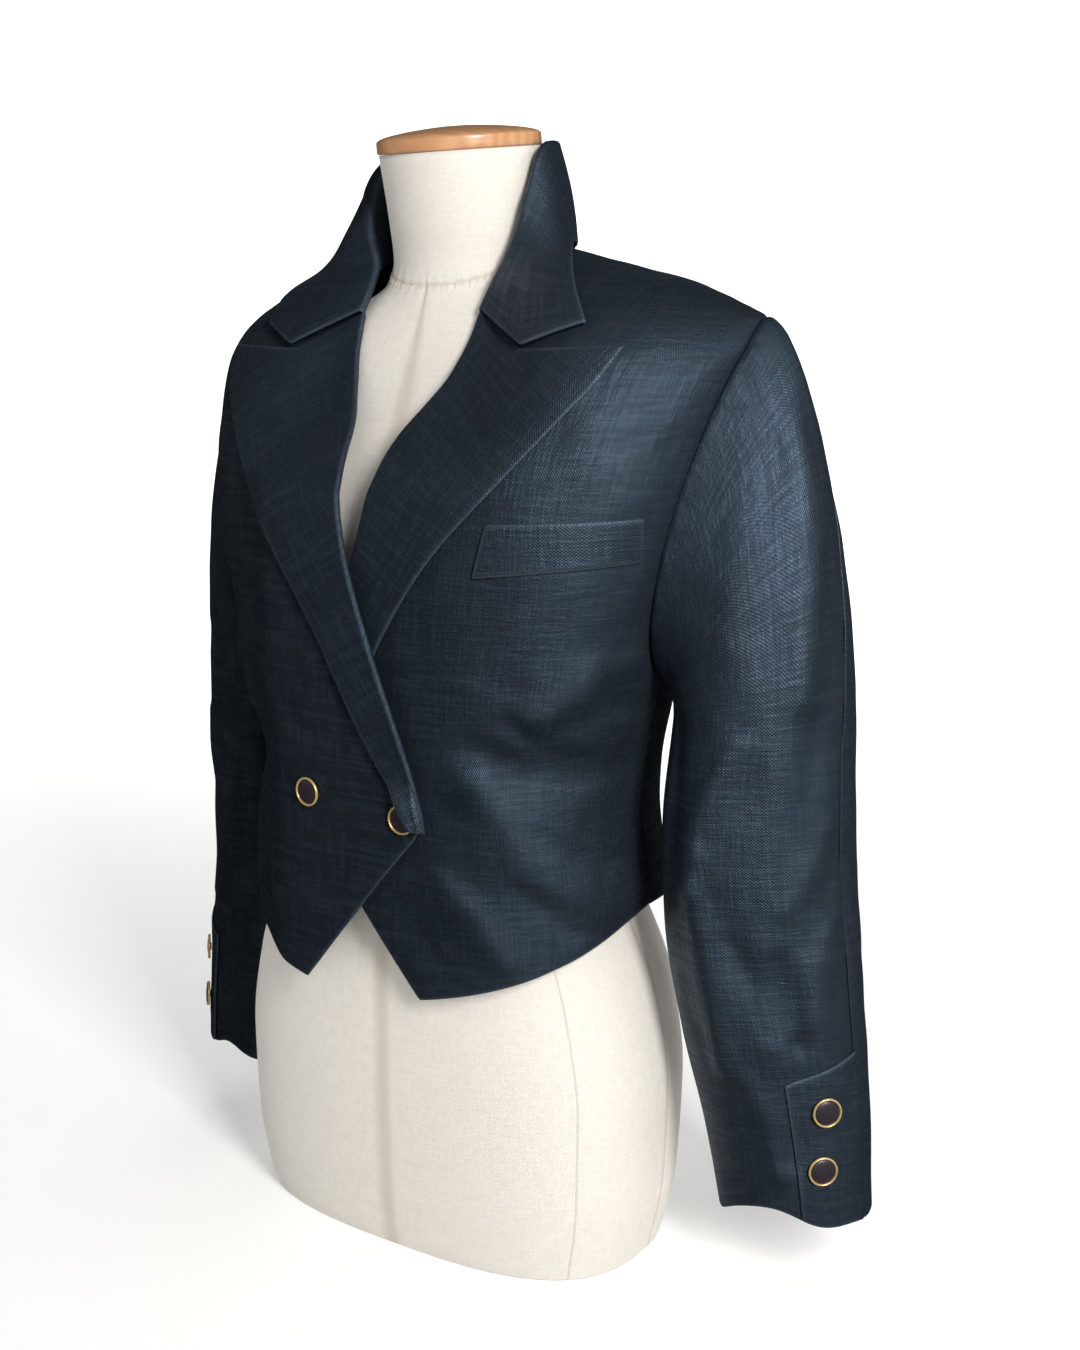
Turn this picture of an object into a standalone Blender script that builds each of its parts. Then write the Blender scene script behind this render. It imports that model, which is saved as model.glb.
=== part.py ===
"""Linen blazer, double breasted with peak lapels, worn on a limbless dress form.

Metres, +Z up, the front faces -Y and the wearer's left is +X. The origin is the
centre of the form's flat base. Every cloth piece is an open sheet on the block of
the garment, thickened into a wall.
"""
import math

import bmesh
import bpy
from mathutils import Matrix, Vector

# driving sizes of the cloth
cloth = 0.0016
lapel_cloth = 0.0018
collar_cloth = 0.0022
trim_cloth = 0.0012
seam_gap = 0.0003
overlap_lift = 0.0080
front_squareness = 2.85
back_squareness = 2.35
lay_gap = 0.0016
trim_gap = 0.0011

# driving sizes of the cut
shoulder_top = 0.741
shoulder_tip = 0.013
ridge_level = 0.7409
ridge_gap = 0.0007
underarm = 0.437
side_hem = 0.262
back_hem = 0.250
break_height = 0.333
break_reach = 0.0575
hem_point = (0.0455, 0.212)
neck_side = 0.0670
neck_back = 0.7305
front_seam = math.radians(172.0)
elbow_seam_top = math.radians(-34.0)
elbow_seam = math.radians(4.0)

# the outside of the body of the jacket, one row a level
block_columns = ("level", "half_width", "front", "back", "middle", "drop")
block_rows = (
    (0.180, 0.160, -0.134, 0.119, 0.004, 0.000),
    (0.250, 0.155, -0.134, 0.115, 0.004, 0.000),
    (0.340, 0.147, -0.133, 0.102, 0.002, 0.000),
    (0.420, 0.160, -0.135, 0.107, 0.003, 0.000),
    (0.500, 0.180, -0.136, 0.117, 0.008, 0.000),
    (0.560, 0.192, -0.131, 0.122, 0.014, 0.003),
    (0.620, 0.203, -0.115, 0.121, 0.022, 0.015),
    (0.670, 0.212, -0.090, 0.112, 0.028, 0.030),
    (0.705, 0.218, -0.057, 0.098, 0.031, 0.041),
    (0.724, 0.220, -0.028, 0.083, 0.032, 0.046),
    (0.735, 0.221, -0.002, 0.064, 0.032, 0.049),
    (0.741, 0.222, 0.032, 0.032, 0.032, 0.051),
)

# the form under it, one row a level
form_columns = ("level", "half_width", "front", "back", "tilt")
form_rows = (
    (0.000, 0.163, -0.108, 0.092, 0.00),
    (0.010, 0.166, -0.111, 0.095, 0.00),
    (0.060, 0.175, -0.116, 0.102, 0.00),
    (0.130, 0.177, -0.118, 0.107, 0.00),
    (0.200, 0.165, -0.117, 0.107, 0.00),
    (0.260, 0.141, -0.110, 0.096, 0.00),
    (0.330, 0.118, -0.095, 0.078, 0.00),
    (0.400, 0.126, -0.103, 0.083, 0.00),
    (0.480, 0.142, -0.116, 0.096, 0.00),
    (0.530, 0.147, -0.117, 0.103, 0.00),
    (0.580, 0.152, -0.098, 0.105, 0.00),
    (0.620, 0.157, -0.079, 0.101, 0.00),
    (0.650, 0.154, -0.068, 0.093, 0.00),
    (0.672, 0.126, -0.060, 0.083, 0.00),
    (0.688, 0.090, -0.054, 0.074, 0.02),
    (0.702, 0.065, -0.049, 0.064, 0.04),
    (0.718, 0.057, -0.048, 0.060, 0.06),
    (0.745, 0.0566, -0.053, 0.057, 0.09),
    (0.792, 0.0571, -0.064, 0.048, 0.12),
)
form_around = 28
form_front_squareness = 2.9
form_back_squareness = 2.1
cap_radius = 0.0580
cap_edge = 0.0075
cap_dome = 0.0090

# the sleeve below its head, one row a level: long and short half axes, turn of the long axis
sleeve_columns = ("level", "centre_x", "centre_y", "long", "short", "turn")
sleeve_rows = (
    (0.410, 0.233, 0.020, 0.066, 0.050, 56.0),
    (0.340, 0.234, 0.014, 0.069, 0.047, 46.0),
    (0.270, 0.239, 0.011, 0.069, 0.044, 40.0),
    (0.190, 0.251, 0.010, 0.065, 0.040, 35.0),
    (0.120, 0.263, 0.012, 0.059, 0.036, 33.0),
    (0.056, 0.271, 0.013, 0.054, 0.034, 32.0),
)
cuff_level = 0.056
cuff_rise = 0.014
cuff_rise_turn = math.radians(88.0)
sleeve_head_level = 0.410
right_sleeve_shift = -0.012
right_sleeve_swing = -0.010

# armhole loop, seen from the side
armhole_low = 0.006
armhole_high = 0.032
armhole_front = 0.050
armhole_back = 0.056
armhole_egg = 0.33
sleeve_stand = 0.0009
armhole_tip = math.radians(83.0)

# front view lines, x and z of one side
roll_line = (
    (-break_reach, break_height + 0.003),
    (-0.0555, 0.349),
    (-0.0462, 0.3843),
    (-0.0210, 0.456),
    (0.0010, 0.525),
    (0.0111, 0.5676),
    (0.0202, 0.5998),
    (0.0400, 0.6388),
    (0.0470, 0.6619),
    (0.0492, 0.680),
)
lapel_edge = (
    (-break_reach + 0.0085, break_height + 0.0060),
    (-0.0386, 0.3575),
    (-0.0200, 0.3860),
    (0.0052, 0.4295),
    (0.0215, 0.4600),
    (0.0420, 0.4920),
    (0.0670, 0.5255),
    (0.1050, 0.5690),
    (0.1350, 0.6070),
    (0.1537, 0.6335),
    (0.163, 0.655),
)
lapel_notch = (0.095, 0.6545)
lapel_peak = (0.164, 0.656)

# how far the fronts lie back against the form beside the neck, by height
neck_dip_rows = (
    (0.560, 0.0),
    (0.5869, 0.0080),
    (0.5998, 0.0140),
    (0.6192, 0.0238),
    (0.6388, 0.0291),
    (0.6619, 0.0271),
    (0.6784, 0.0208),
    (0.6917, 0.0140),
    (0.7086, 0.0030),
    (0.720, 0.0),
)
dip_reach = 0.050
dip_fade = 0.053

# collar lines from the front end to the middle of the back; the ends lie on the fronts: x, z and lift
collar_fold_end = (0.0502, 0.6855, 0.0030)
collar_notch = (0.0962, 0.6567, 0.0058)
collar_point = (0.1345, 0.6703, 0.0062)
seat_end = (0.0545, -0.0460, 0.6890)
fold_line = (
    (0.0505, -0.0440, 0.6985),
    (0.0535, -0.0330, 0.7153),
    (0.0585, -0.0280, 0.7318),
    (0.0622, -0.0235, 0.7515),
    (0.0640, -0.0155, 0.7700),
    (0.0640, -0.0060, 0.7880),
    (0.0625, 0.0070, 0.7960),
    (0.0540, 0.0310, 0.7990),
    (0.0330, 0.0570, 0.8015),
    (0.0000, 0.0680, 0.8020),
)
leaf_line = (
    (0.1180, -0.0440, 0.6970),
    (0.0960, -0.0120, 0.7190),
    (0.0760, 0.0240, 0.7300),
    (0.0510, 0.0680, 0.7290),
    (0.0250, 0.0900, 0.7215),
    (0.0000, 0.0960, 0.7185),
)

# the right half of the collar stands wider and rolls more softly
fold_line_right = (
    (0.0505, -0.0440, 0.6985),
    (0.0538, -0.0330, 0.7153),
    (0.0620, -0.0285, 0.7318),
    (0.0690, -0.0245, 0.7530),
    (0.0720, -0.0180, 0.7720),
    (0.0710, -0.0050, 0.7870),
    (0.0670, 0.0110, 0.7950),
    (0.0560, 0.0330, 0.7990),
    (0.0330, 0.0570, 0.8015),
    (0.0000, 0.0680, 0.8020),
)
leaf_line_right = (
    (0.1300, -0.0500, 0.6930),
    (0.1260, -0.0220, 0.7080),
    (0.0980, 0.0220, 0.7290),
    (0.0620, 0.0700, 0.7280),
    (0.0290, 0.0920, 0.7210),
    (0.0000, 0.0960, 0.7185),
)
fold_radius = 0.0034
leaf_bulge = 0.0025
soft_radius = 0.0026
soft_bulge = 0.0045
soft_place = 0.80
soft_spread = 0.085

# largest folds of the fronts in front view: a soft ridge (+) or trough (-) between two points
fold_columns = ("from_x", "from_z", "to_x", "to_z", "width", "depth")
left_front_folds = (
    (0.166, 0.455, 0.128, 0.418, 0.012, 0.0060),
    (0.090, 0.395, 0.150, 0.372, 0.013, -0.0050),
    (0.088, 0.370, 0.150, 0.278, 0.017, 0.0050),
    (0.066, 0.300, 0.106, 0.248, 0.012, 0.0035),
)
right_front_folds = (
    (-0.150, 0.450, -0.120, 0.405, 0.013, 0.0050),
    (-0.142, 0.360, -0.118, 0.265, 0.013, 0.0045),
    (-0.090, 0.385, -0.130, 0.350, 0.014, -0.0045),
)
back_folds = (
    (0.120, 0.470, 0.060, 0.420, 0.016, 0.0050),
    (-0.128, 0.455, -0.072, 0.400, 0.017, 0.0045),
    (0.105, 0.385, -0.020, 0.345, 0.015, -0.0050),
    (-0.040, 0.372, -0.125, 0.335, 0.014, -0.0045),
    (0.070, 0.320, 0.090, 0.255, 0.016, 0.0040),
)

# largest folds of a sleeve: angle and level at both ends
sleeve_fold_columns = ("from_turn", "from_level", "to_turn", "to_level", "width", "depth")
left_sleeve_folds = (
    (20.0, 0.610, 24.0, 0.430, 0.016, 0.0055),
    (78.0, 0.400, 98.0, 0.330, 0.015, -0.0060),
    (60.0, 0.390, 92.0, 0.275, 0.016, 0.0060),
    (92.0, 0.275, 78.0, 0.170, 0.014, 0.0050),
    (34.0, 0.235, 24.0, 0.165, 0.012, -0.0045),
    (250.0, 0.400, 300.0, 0.330, 0.018, -0.0060),
    (300.0, 0.300, 255.0, 0.225, 0.016, 0.0055),
)
right_sleeve_folds = (
    (16.0, 0.600, 26.0, 0.440, 0.017, 0.0050),
    (70.0, 0.380, 102.0, 0.320, 0.016, -0.0055),
    (88.0, 0.330, 66.0, 0.210, 0.015, 0.0055),
    (262.0, 0.410, 305.0, 0.345, 0.017, -0.0055),
    (290.0, 0.290, 258.0, 0.200, 0.016, 0.0050),
)

# trim
welt_corners = ((0.100, 0.546), (0.180, 0.549), (0.177, 0.520), (0.092, 0.511))
tab_width = math.radians(54.0)
tab_top = 0.181
tab_slant = 0.018
button_radius = 0.0105
button_rim = 0.0016
button_stand = 0.0004
button_height = 0.0036
front_button_places = {"front_button_outer": (-0.0405, 0.3514), "front_button_edge": (0.0405, 0.3440)}
cuff_button_levels = {"high": 0.143, "low": 0.100}
cuff_button_turns = {"high": math.radians(34.0), "low": math.radians(41.0)}
lapel_rise = 0.0060
lapel_rise_width = 0.019

# colours
navy = (0.016, 0.024, 0.034)
cream = (0.78, 0.72, 0.61)
wood = (0.42, 0.17, 0.05)
gold = (0.80, 0.60, 0.30)
satin = (0.13, 0.10, 0.13)


def column(columns, rows, name):
    at = columns.index(name)
    return [row[at] for row in rows]


def slopes(xs, ys):
    gaps = [b - a for a, b in zip(xs, xs[1:])]
    steps = [(b - a) / g for a, b, g in zip(ys, ys[1:], gaps)]
    out = [steps[0]]
    for before, after in zip(steps, steps[1:]):
        out.append(0.0 if before * after <= 0.0 else 2.0 * before * after / (before + after))
    out.append(steps[-1])
    return out


class Curve:
    """A smooth line through a column of a table, without overshoot."""

    def __init__(self, xs, ys):
        if xs[0] > xs[-1]:
            xs = xs[::-1]
            ys = ys[::-1]
        self.xs = list(xs)
        self.ys = list(ys)
        self.ms = slopes(self.xs, self.ys)

    def __call__(self, x):
        xs = self.xs
        x = min(max(x, xs[0]), xs[-1])
        i = 0
        while i < len(xs) - 2 and x > xs[i + 1]:
            i += 1
        h = xs[i + 1] - xs[i]
        t = (x - xs[i]) / h
        a = self.ys[i] * (2 * t ** 3 - 3 * t ** 2 + 1) + self.ms[i] * h * (t ** 3 - 2 * t ** 2 + t)
        return a + self.ys[i + 1] * (3 * t ** 2 - 2 * t ** 3) + self.ms[i + 1] * h * (t ** 3 - t ** 2)


def curves(columns, rows):
    first = column(columns, rows, columns[0])
    return {name: Curve(first, column(columns, rows, name)) for name in columns[1:]}


block = curves(block_columns, block_rows)
sleeve = curves(sleeve_columns, sleeve_rows)
form = curves(form_columns, form_rows)


class Path:
    """A smooth line through points, by its share of the length."""

    def __init__(self, points):
        points = [Vector(p) for p in points]
        at = [0.0]
        for a, b in zip(points, points[1:]):
            at.append(at[-1] + (b - a).length)
        self.parts = [Curve([s / at[-1] for s in at], [p[k] for p in points]) for k in range(len(points[0]))]

    def __call__(self, t):
        return Vector([part(t) for part in self.parts])


def ease(a, b, x):
    t = min(max((x - a) / (b - a), 0.0), 1.0)
    return t * t * (3.0 - 2.0 * t)


def block_point(level, turn):
    square = front_squareness if math.cos(turn) > 0.0 else back_squareness
    s = abs(math.sin(turn)) ** (2.0 / square)
    c = abs(math.cos(turn)) ** (2.0 / square)
    middle = block["middle"](level)
    reach = block["front"](level) if math.cos(turn) > 0.0 else block["back"](level)
    x = math.copysign(block["half_width"](level) * s, math.sin(turn))
    tip = shoulder_tip * ease(0.66, 0.741, level) * s ** 6
    return Vector((x, middle + (reach - middle) * c, level - block["drop"](level) * s - tip))


def block_normal(level, turn):
    h = 0.0015
    level = min(level, shoulder_top - 2.0 * h)
    up = block_point(level + h, turn) - block_point(level - h, turn)
    side = block_point(level, turn + h * 4.0) - block_point(level, turn - h * 4.0)
    return side.cross(up).normalized()


def find_front(x, z, back=False):
    """Level and turn of the block at a place in front view."""
    level = z
    for _ in range(14):
        s = min(abs(x) / block["half_width"](level), 0.9995)
        tip = shoulder_tip * ease(0.66, 0.741, level) * s ** 6
        level = min(z + block["drop"](level) * s + tip, shoulder_top)
    square = back_squareness if back else front_squareness
    turn = math.copysign(math.asin(min(s, 1.0) ** (square / 2.0)), x)
    return level, (math.pi - turn if back else turn)


def find_side(y, z):
    """Level and turn of the block's left side at a place in side view."""
    level = z
    turn = math.pi / 2.0
    for _ in range(20):
        middle = block["middle"](level)
        reach = (block["front"](level) if y < middle else block["back"](level)) - middle
        c = min(abs(y - middle) / max(abs(reach), 1e-5), 0.999)
        square = front_squareness if y < middle else back_squareness
        turn = math.acos(c ** (square / 2.0))
        s = math.sin(turn) ** (2.0 / square)
        tip = shoulder_tip * ease(0.66, 0.741, level) * s ** 6
        level = 0.5 * level + 0.5 * min(z + block["drop"](level) * s + tip, shoulder_top)
        if y > middle:
            turn = math.pi - turn
    return level, turn


def fold_lift(folds, x, z):
    lift = 0.0
    for ax, az, bx, bz, width, depth in folds:
        dx, dz = bx - ax, bz - az
        t = min(max(((x - ax) * dx + (z - az) * dz) / (dx * dx + dz * dz), 0.0), 1.0)
        away = math.hypot(x - ax - dx * t, z - az - dz * t)
        lift += depth * math.exp(-(away / width) ** 2)
    return lift


# the whole armhole, by a turn from the shoulder to the front, the underarm and the back
armhole_top = block_point(shoulder_top, math.pi / 2.0)


def armhole(turn):
    middle = 0.5 * (armhole_top.z + underarm)
    half = 0.5 * (armhole_top.z - underarm)
    z = middle + half * math.cos(turn)
    side = math.sin(turn)
    wide = armhole_front if side > 0.0 else armhole_back
    centre = armhole_low + (armhole_high - armhole_low) * (0.5 + 0.5 * math.cos(turn))
    y = centre - wide * side * (1.0 - armhole_egg * math.cos(turn))
    level, around = find_side(y, z)
    if math.cos(turn) > 0.9:
        around = min(around, armhole_tip) if side >= 0.0 else max(around, math.pi - armhole_tip)
    return level, around


def armhole_point(turn):
    level, around = armhole(turn)
    return block_point(level, around)


# fronts: lines of the left one, in level and turn
roll_inset = 0.0063
front_path = Path([hem_point + (0.0,), (-break_reach + roll_inset, break_height, 0.0)])
roll_path = Path([p + (0.0,) for p in roll_line])
edge_path = Path([p + (0.0,) for p in lapel_edge])
neck_dip_curve = Curve([row[0] for row in neck_dip_rows], [row[1] for row in neck_dip_rows])
break_share = 0.26
roll_share = 0.90
arm_share = 0.50


def neck_turn(square):
    return math.asin((neck_side / block["half_width"](shoulder_top)) ** (square / 2.0))


def front_edge(v):
    if v < break_share:
        p = front_path(v / break_share)
        return find_front(p.x, p.y)
    if v < roll_share:
        t = (v - break_share) / (roll_share - break_share)
        p = roll_path(t)
        return find_front(p.x + roll_inset, p.y)
    t = (v - roll_share) / (1.0 - roll_share)
    a = find_front(roll_line[-1][0] + roll_inset, roll_line[-1][1])
    b = (ridge_level, neck_turn(front_squareness))
    return a[0] + (b[0] - a[0]) * t ** 0.8, a[1] + (b[1] - a[1]) * t


def side_edge(v, gap):
    if v < arm_share:
        level = side_hem + (underarm - side_hem) * v / arm_share
        return level, math.pi / 2.0 - gap
    t = (v - arm_share) / (1.0 - arm_share)
    level, turn = armhole(math.pi * (1.0 - t))
    return min(level, ridge_level), min(turn, math.pi / 2.0 - gap)


def overlap(x, z):
    return overlap_lift * ease(-0.108, -0.066, x) * ease(0.61, 0.54, z)


def neck_dip(x, z):
    beyond = max(abs(x) - dip_reach, 0.0)
    return neck_dip_curve(z) * math.exp(-(beyond / dip_fade) ** 2)


def front_place(u, v):
    a = front_edge(v)
    b = side_edge(v, 0.5 * seam_gap / 0.16)
    return a[0] + (b[0] - a[0]) * u, a[1] + (b[1] - a[1]) * u


def front_sheet(u, v, side):
    level, turn = front_place(u, v)
    p = block_point(level, turn)
    n = block_normal(level, turn)
    p.y += neck_dip(p.x, p.z) - ridge_gap * ease(0.728, ridge_level, level)
    if side > 0:
        lift = fold_lift(left_front_folds, p.x, p.z) * ease(0.0, 0.06, 1.0 - u)
        return p + n * lift
    p.x = -p.x
    n.x = -n.x
    lift = fold_lift(right_front_folds, p.x, p.z) * ease(0.0, 0.06, 1.0 - u)
    return p + n * (lift + overlap(p.x, p.z))


def on_front(x, z, side, lift):
    """A point over a front, out from its cloth."""
    level, turn = find_front(x, z)
    p = block_point(level, turn)
    n = block_normal(level, turn)
    p.y += neck_dip(x, z)
    if side > 0:
        return p + n * (fold_lift(left_front_folds, x, z) + lift)
    return p + n * (fold_lift(right_front_folds, x, z) + overlap(x, z) + lift)


def lapel_place(a, b):
    """Front view place on the left lapel, a from the roll line to the edge, b up the roll line."""
    roll = roll_path(b)
    edge = edge_path(b)
    top_kink = 0.34
    last_roll, last_edge = Vector(roll_line[-1] + (0.0,)), Vector(lapel_edge[-1] + (0.0,))
    notch, peak = Vector(lapel_notch + (0.0,)), Vector(lapel_peak + (0.0,))
    if a < top_kink:
        top = last_roll.lerp(notch, a / top_kink)
    else:
        top = notch.lerp(peak, (a - top_kink) / (1.0 - top_kink))
    straight = last_roll.lerp(last_edge, a)
    return roll.lerp(edge, a) + (top - straight) * ease(0.55, 1.0, b)


def lapel_sheet(u, v, side):
    roll_columns = 0.34
    radius = lapel_cloth + 0.0009 + 0.0004 * math.sin(math.pi * v)
    if side > 0:
        radius = lapel_cloth + 0.0007 + 0.0012 * ease(0.5, 0.75, v)
    start = lapel_place(0.0, v)
    ahead = lapel_place(0.25, v) - start
    across = ahead.normalized()
    if u < roll_columns:
        turn = math.pi * u / roll_columns
        away = radius - radius * math.sin(turn)
        lift = -lapel_cloth + radius - radius * math.cos(turn)
        place = start + across * away
    else:
        t = (u - roll_columns) / (1.0 - roll_columns)
        begin = min(radius / (lapel_place(1.0, v) - start).length, 0.7)
        place = lapel_place(begin + (1.0 - begin) * t, v)
        high = 2.0 * radius - lapel_cloth
        low = lapel_cloth + lay_gap
        lift = high + (low - high) * ease(0.1, 1.0, t)
        if side < 0:
            over_x, over_z = front_button_places["front_button_edge"]
            away = math.hypot(-place.x - over_x, place.y - over_z)
            lift += lapel_rise * math.exp(-(away / lapel_rise_width) ** 4)
    return on_front(place.x * side, place.y, side, lift)


def back_edge(v, gap):
    if v < arm_share:
        level = side_hem + (underarm - side_hem) * v / arm_share
        return level, math.pi / 2.0 + gap
    t = (v - arm_share) / (1.0 - arm_share)
    level, turn = armhole(math.pi * (1.0 + t))
    return min(level, ridge_level), max(turn, math.pi / 2.0 + gap)


def back_sheet(u, v):
    half = abs(2.0 * u - 1.0)
    left = back_edge(v, 0.5 * seam_gap / 0.16)
    low = back_hem + (neck_back - back_hem) * v
    share = (math.pi - left[1]) * half
    turn = math.pi - share
    dip = max(0.0, 1.0 - (share / neck_turn(back_squareness)) ** 2)
    wide = left[0] + (low - left[0]) * (1.0 - half ** 2 * (3.0 - 2.0 * half))
    top = left[0] + (neck_back - left[0]) * dip
    level = wide + (top - wide) * ease(0.72, 1.0, v)
    p = block_point(min(level, ridge_level), turn)
    n = block_normal(min(level, ridge_level), turn)
    p.y += ridge_gap * ease(0.728, ridge_level, level)
    if u > 0.5:
        p.x = -p.x
        n.x = -n.x
    return p + n * fold_lift(back_folds, p.x, p.z) * ease(0.0, 0.10, 1.0 - half)


fold_end = on_front(collar_fold_end[0], collar_fold_end[1], 1, collar_fold_end[2])
notch_end = on_front(collar_notch[0], collar_notch[1], 1, collar_notch[2])
point_end = on_front(collar_point[0], collar_point[1], 1, collar_point[2])


def both_sides(line, right):
    """A line of the left side, carried on round the back to the right one."""
    return tuple(line) + tuple((-x, y, z) for x, y, z in reversed(right[:-1]))


neck_corner = neck_turn(back_squareness) / armhole_tip
seat_stand = 0.0008


def seat_line():
    """The foot of the stand: the neck edge of the front and of the back, moved in by the collar's wall."""
    edge = [front_sheet(0.0, v, 1) for v in (0.94, 0.97, 1.0)]
    edge += [back_sheet(0.5 - 0.5 * neck_corner * h, 1.0) for h in (0.75, 0.5, 0.25, 0.0)]
    line = [seat_end]
    for p in edge:
        inward = Vector((-p.x, 0.005 - p.y, 0.0)).normalized()
        p = p + inward * (collar_cloth + 2.0 * seam_gap)
        line.append((p.x, p.y, p.z + seat_stand))
    return line


seat_path = Path(both_sides(seat_line(), seat_line()))
fold_path = Path(both_sides((tuple(fold_end),) + fold_line, (tuple(fold_end),) + fold_line_right))
leaf_path = Path(both_sides((tuple(point_end),) + leaf_line, (tuple(point_end),) + leaf_line_right))
stand_share = 0.34
arc_share = 0.50


def collar_sheet(u, v):
    """u from the left front end round the back to the right, v from the seat to the leaf's edge."""
    from_end = 1.0 - abs(2.0 * u - 1.0)
    seat, fold, leaf = seat_path(u), fold_path(u), leaf_path(u)
    run = (fold_path(min(u + 0.01, 1.0)) - fold_path(max(u - 0.01, 0.0))).normalized()
    apex = fold - (seat + leaf) * 0.5
    apex = (apex - run * apex.dot(run)).normalized()
    out = apex.cross(run)
    if out.dot(leaf - seat) < 0.0:
        out = -out
    soft = math.exp(-((u - soft_place) / soft_spread) ** 2)
    radius = fold_radius + soft_radius * soft
    centre = fold - apex * radius
    if v < stand_share:
        p = seat.lerp(centre - out * radius, v / stand_share)
    elif v < arc_share:
        turn = math.pi * (v - stand_share) / (arc_share - stand_share)
        p = centre - out * radius * math.cos(turn) + apex * radius * math.sin(turn)
    else:
        t = (v - arc_share) / (1.0 - arc_share)
        bulge = leaf_bulge + soft_bulge * soft
        p = (centre + out * radius).lerp(leaf, t) + out * bulge * math.sin(math.pi * t)
        third = 0.4
        end = fold_end.lerp(notch_end, t / third)
        if t > third:
            end = notch_end.lerp(point_end, (t - third) / (1.0 - third))
        bend = end - fold_end.lerp(point_end, t)
        if u > 0.5:
            bend.x = -bend.x
        p = p + bend * (1.0 - ease(0.0, 0.17, from_end))
    return p


def ring_point(level, turn, side):
    """The sleeve below its head; the right one hangs closer."""
    spin = math.radians(sleeve["turn"](level))
    at = -turn - spin
    a = sleeve["long"](level) * math.cos(at)
    b = sleeve["short"](level) * math.sin(at)
    shift = 0.0
    if side < 0:
        b *= 0.92
        shift = right_sleeve_shift + right_sleeve_swing * ease(0.42, 0.12, level)
    x = sleeve["centre_x"](level) + shift + a * math.cos(spin) - b * math.sin(spin)
    y = sleeve["centre_y"](level) + a * math.sin(spin) + b * math.cos(spin)
    return Vector((x, y, level))


def sleeve_base(turn, v, side):
    """v 0 at the armhole, head_share at the upper arm, 1 at the cuff."""
    if v >= head_share:
        t = (v - head_share) / (1.0 - head_share)
        p = ring_point(sleeve_head_level + (cuff_level - sleeve_head_level) * t, turn, side)
        off = (turn - cuff_rise_turn) / 0.6
        p.z += cuff_rise * math.exp(-off * off) * ease(0.8, 1.0, t)
        return p
    t = v / head_share
    level, around = armhole(turn)
    start = block_point(level, around) + block_normal(level, around) * sleeve_stand
    end = ring_point(sleeve_head_level, turn, side)
    high = 0.5 + 0.5 * math.cos(turn)
    out = Vector((0.045 + 0.055 * high ** 2, 0.0, -0.085 + 0.085 * high))
    down = Vector((0.015 * high, 0.0, -0.06 - 0.26 * high))
    p = start * (2 * t ** 3 - 3 * t ** 2 + 1) + out * (t ** 3 - 2 * t ** 2 + t)
    p = p + end * (3 * t ** 2 - 2 * t ** 3) + down * (t ** 3 - t ** 2)
    return p + out.normalized() * sleeve_stand * (1.0 - t)


head_share = 0.40


def sleeve_lift(folds, turn, level):
    """Folds of the sleeve, their turns as lengths on a round of the upper arm."""
    lift = 0.0
    around = 0.055
    for a_turn, a_level, b_turn, b_level, width, depth in folds:
        ax = 0.0
        bx = around * math.radians(b_turn - a_turn)
        x = around * ((turn - math.radians(a_turn) + math.pi) % (2.0 * math.pi) - math.pi)
        dx, dz = bx - ax, b_level - a_level
        t = min(max((x * dx + (level - a_level) * dz) / (dx * dx + dz * dz), 0.0), 1.0)
        away = math.hypot(x - dx * t, level - a_level - dz * t)
        lift += depth * math.exp(-(away / width) ** 2)
    return lift


def sleeve_point(turn, v, side, lift=0.0):
    folds = left_sleeve_folds if side > 0 else right_sleeve_folds
    p = sleeve_base(turn, v, side)
    h = 0.004
    low, high = max(v - h, 0.0), min(v + h, 1.0)
    down = sleeve_base(turn, high, side) - sleeve_base(turn, low, side)
    around = sleeve_base(turn + h * 4.0, v, side) - sleeve_base(turn - h * 4.0, v, side)
    n = around.cross(down).normalized()
    middle = Vector((sleeve["centre_x"](p.z), sleeve["centre_y"](p.z), p.z))
    if v > head_share and n.dot(p - middle) < 0.0:
        n = -n
    keep = ease(0.06, 0.2, v) * ease(0.0, 0.05, 1.0 - v) * 0.8 + 0.2 * ease(0.06, 0.2, v)
    inner = 1.0 - 0.85 * ease(0.2, -0.6, math.cos(turn))
    p = p + n * (sleeve_lift(folds, turn, p.z) * keep * inner + lift)
    if side < 0:
        p.x = -p.x
    return p


def elbow_turn(v):
    return elbow_seam_top + (elbow_seam - elbow_seam_top) * ease(0.0, 0.5, v)


seam_angle = 0.7 * seam_gap / 0.045


def upper_sleeve(u, v, side):
    a = elbow_turn(v) + seam_angle
    b = front_seam - seam_angle
    return sleeve_point(a + (b - a) * u, v, side)


def under_sleeve(u, v, side):
    a = front_seam + seam_angle
    b = elbow_turn(v) + 2.0 * math.pi - seam_angle
    return sleeve_point(a + (b - a) * u, v, side)


def level_share(level):
    return head_share + (1.0 - head_share) * (sleeve_head_level - level) / (sleeve_head_level - cuff_level)


def tab_sheet(u, v, side):
    turn = elbow_turn(1.0) + seam_angle + tab_width * u
    top = tab_top - tab_slant * u
    low = cuff_level + 0.001
    return sleeve_point(turn, level_share(low + (top - low) * v), side, trim_gap + trim_cloth)


def welt_sheet(u, v):
    a, b, c, d = [Vector(p + (0.0,)) for p in welt_corners]
    p = d.lerp(c, u).lerp(a.lerp(b, u), v)
    return on_front(p.x, p.y, 1, trim_gap + trim_cloth)


# building tools
for thing in list(bpy.data.objects):
    bpy.data.objects.remove(thing, do_unlink=True)
collection = bpy.data.collections.new("linen_blazer_on_form")
bpy.context.scene.collection.children.link(collection)


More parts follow.
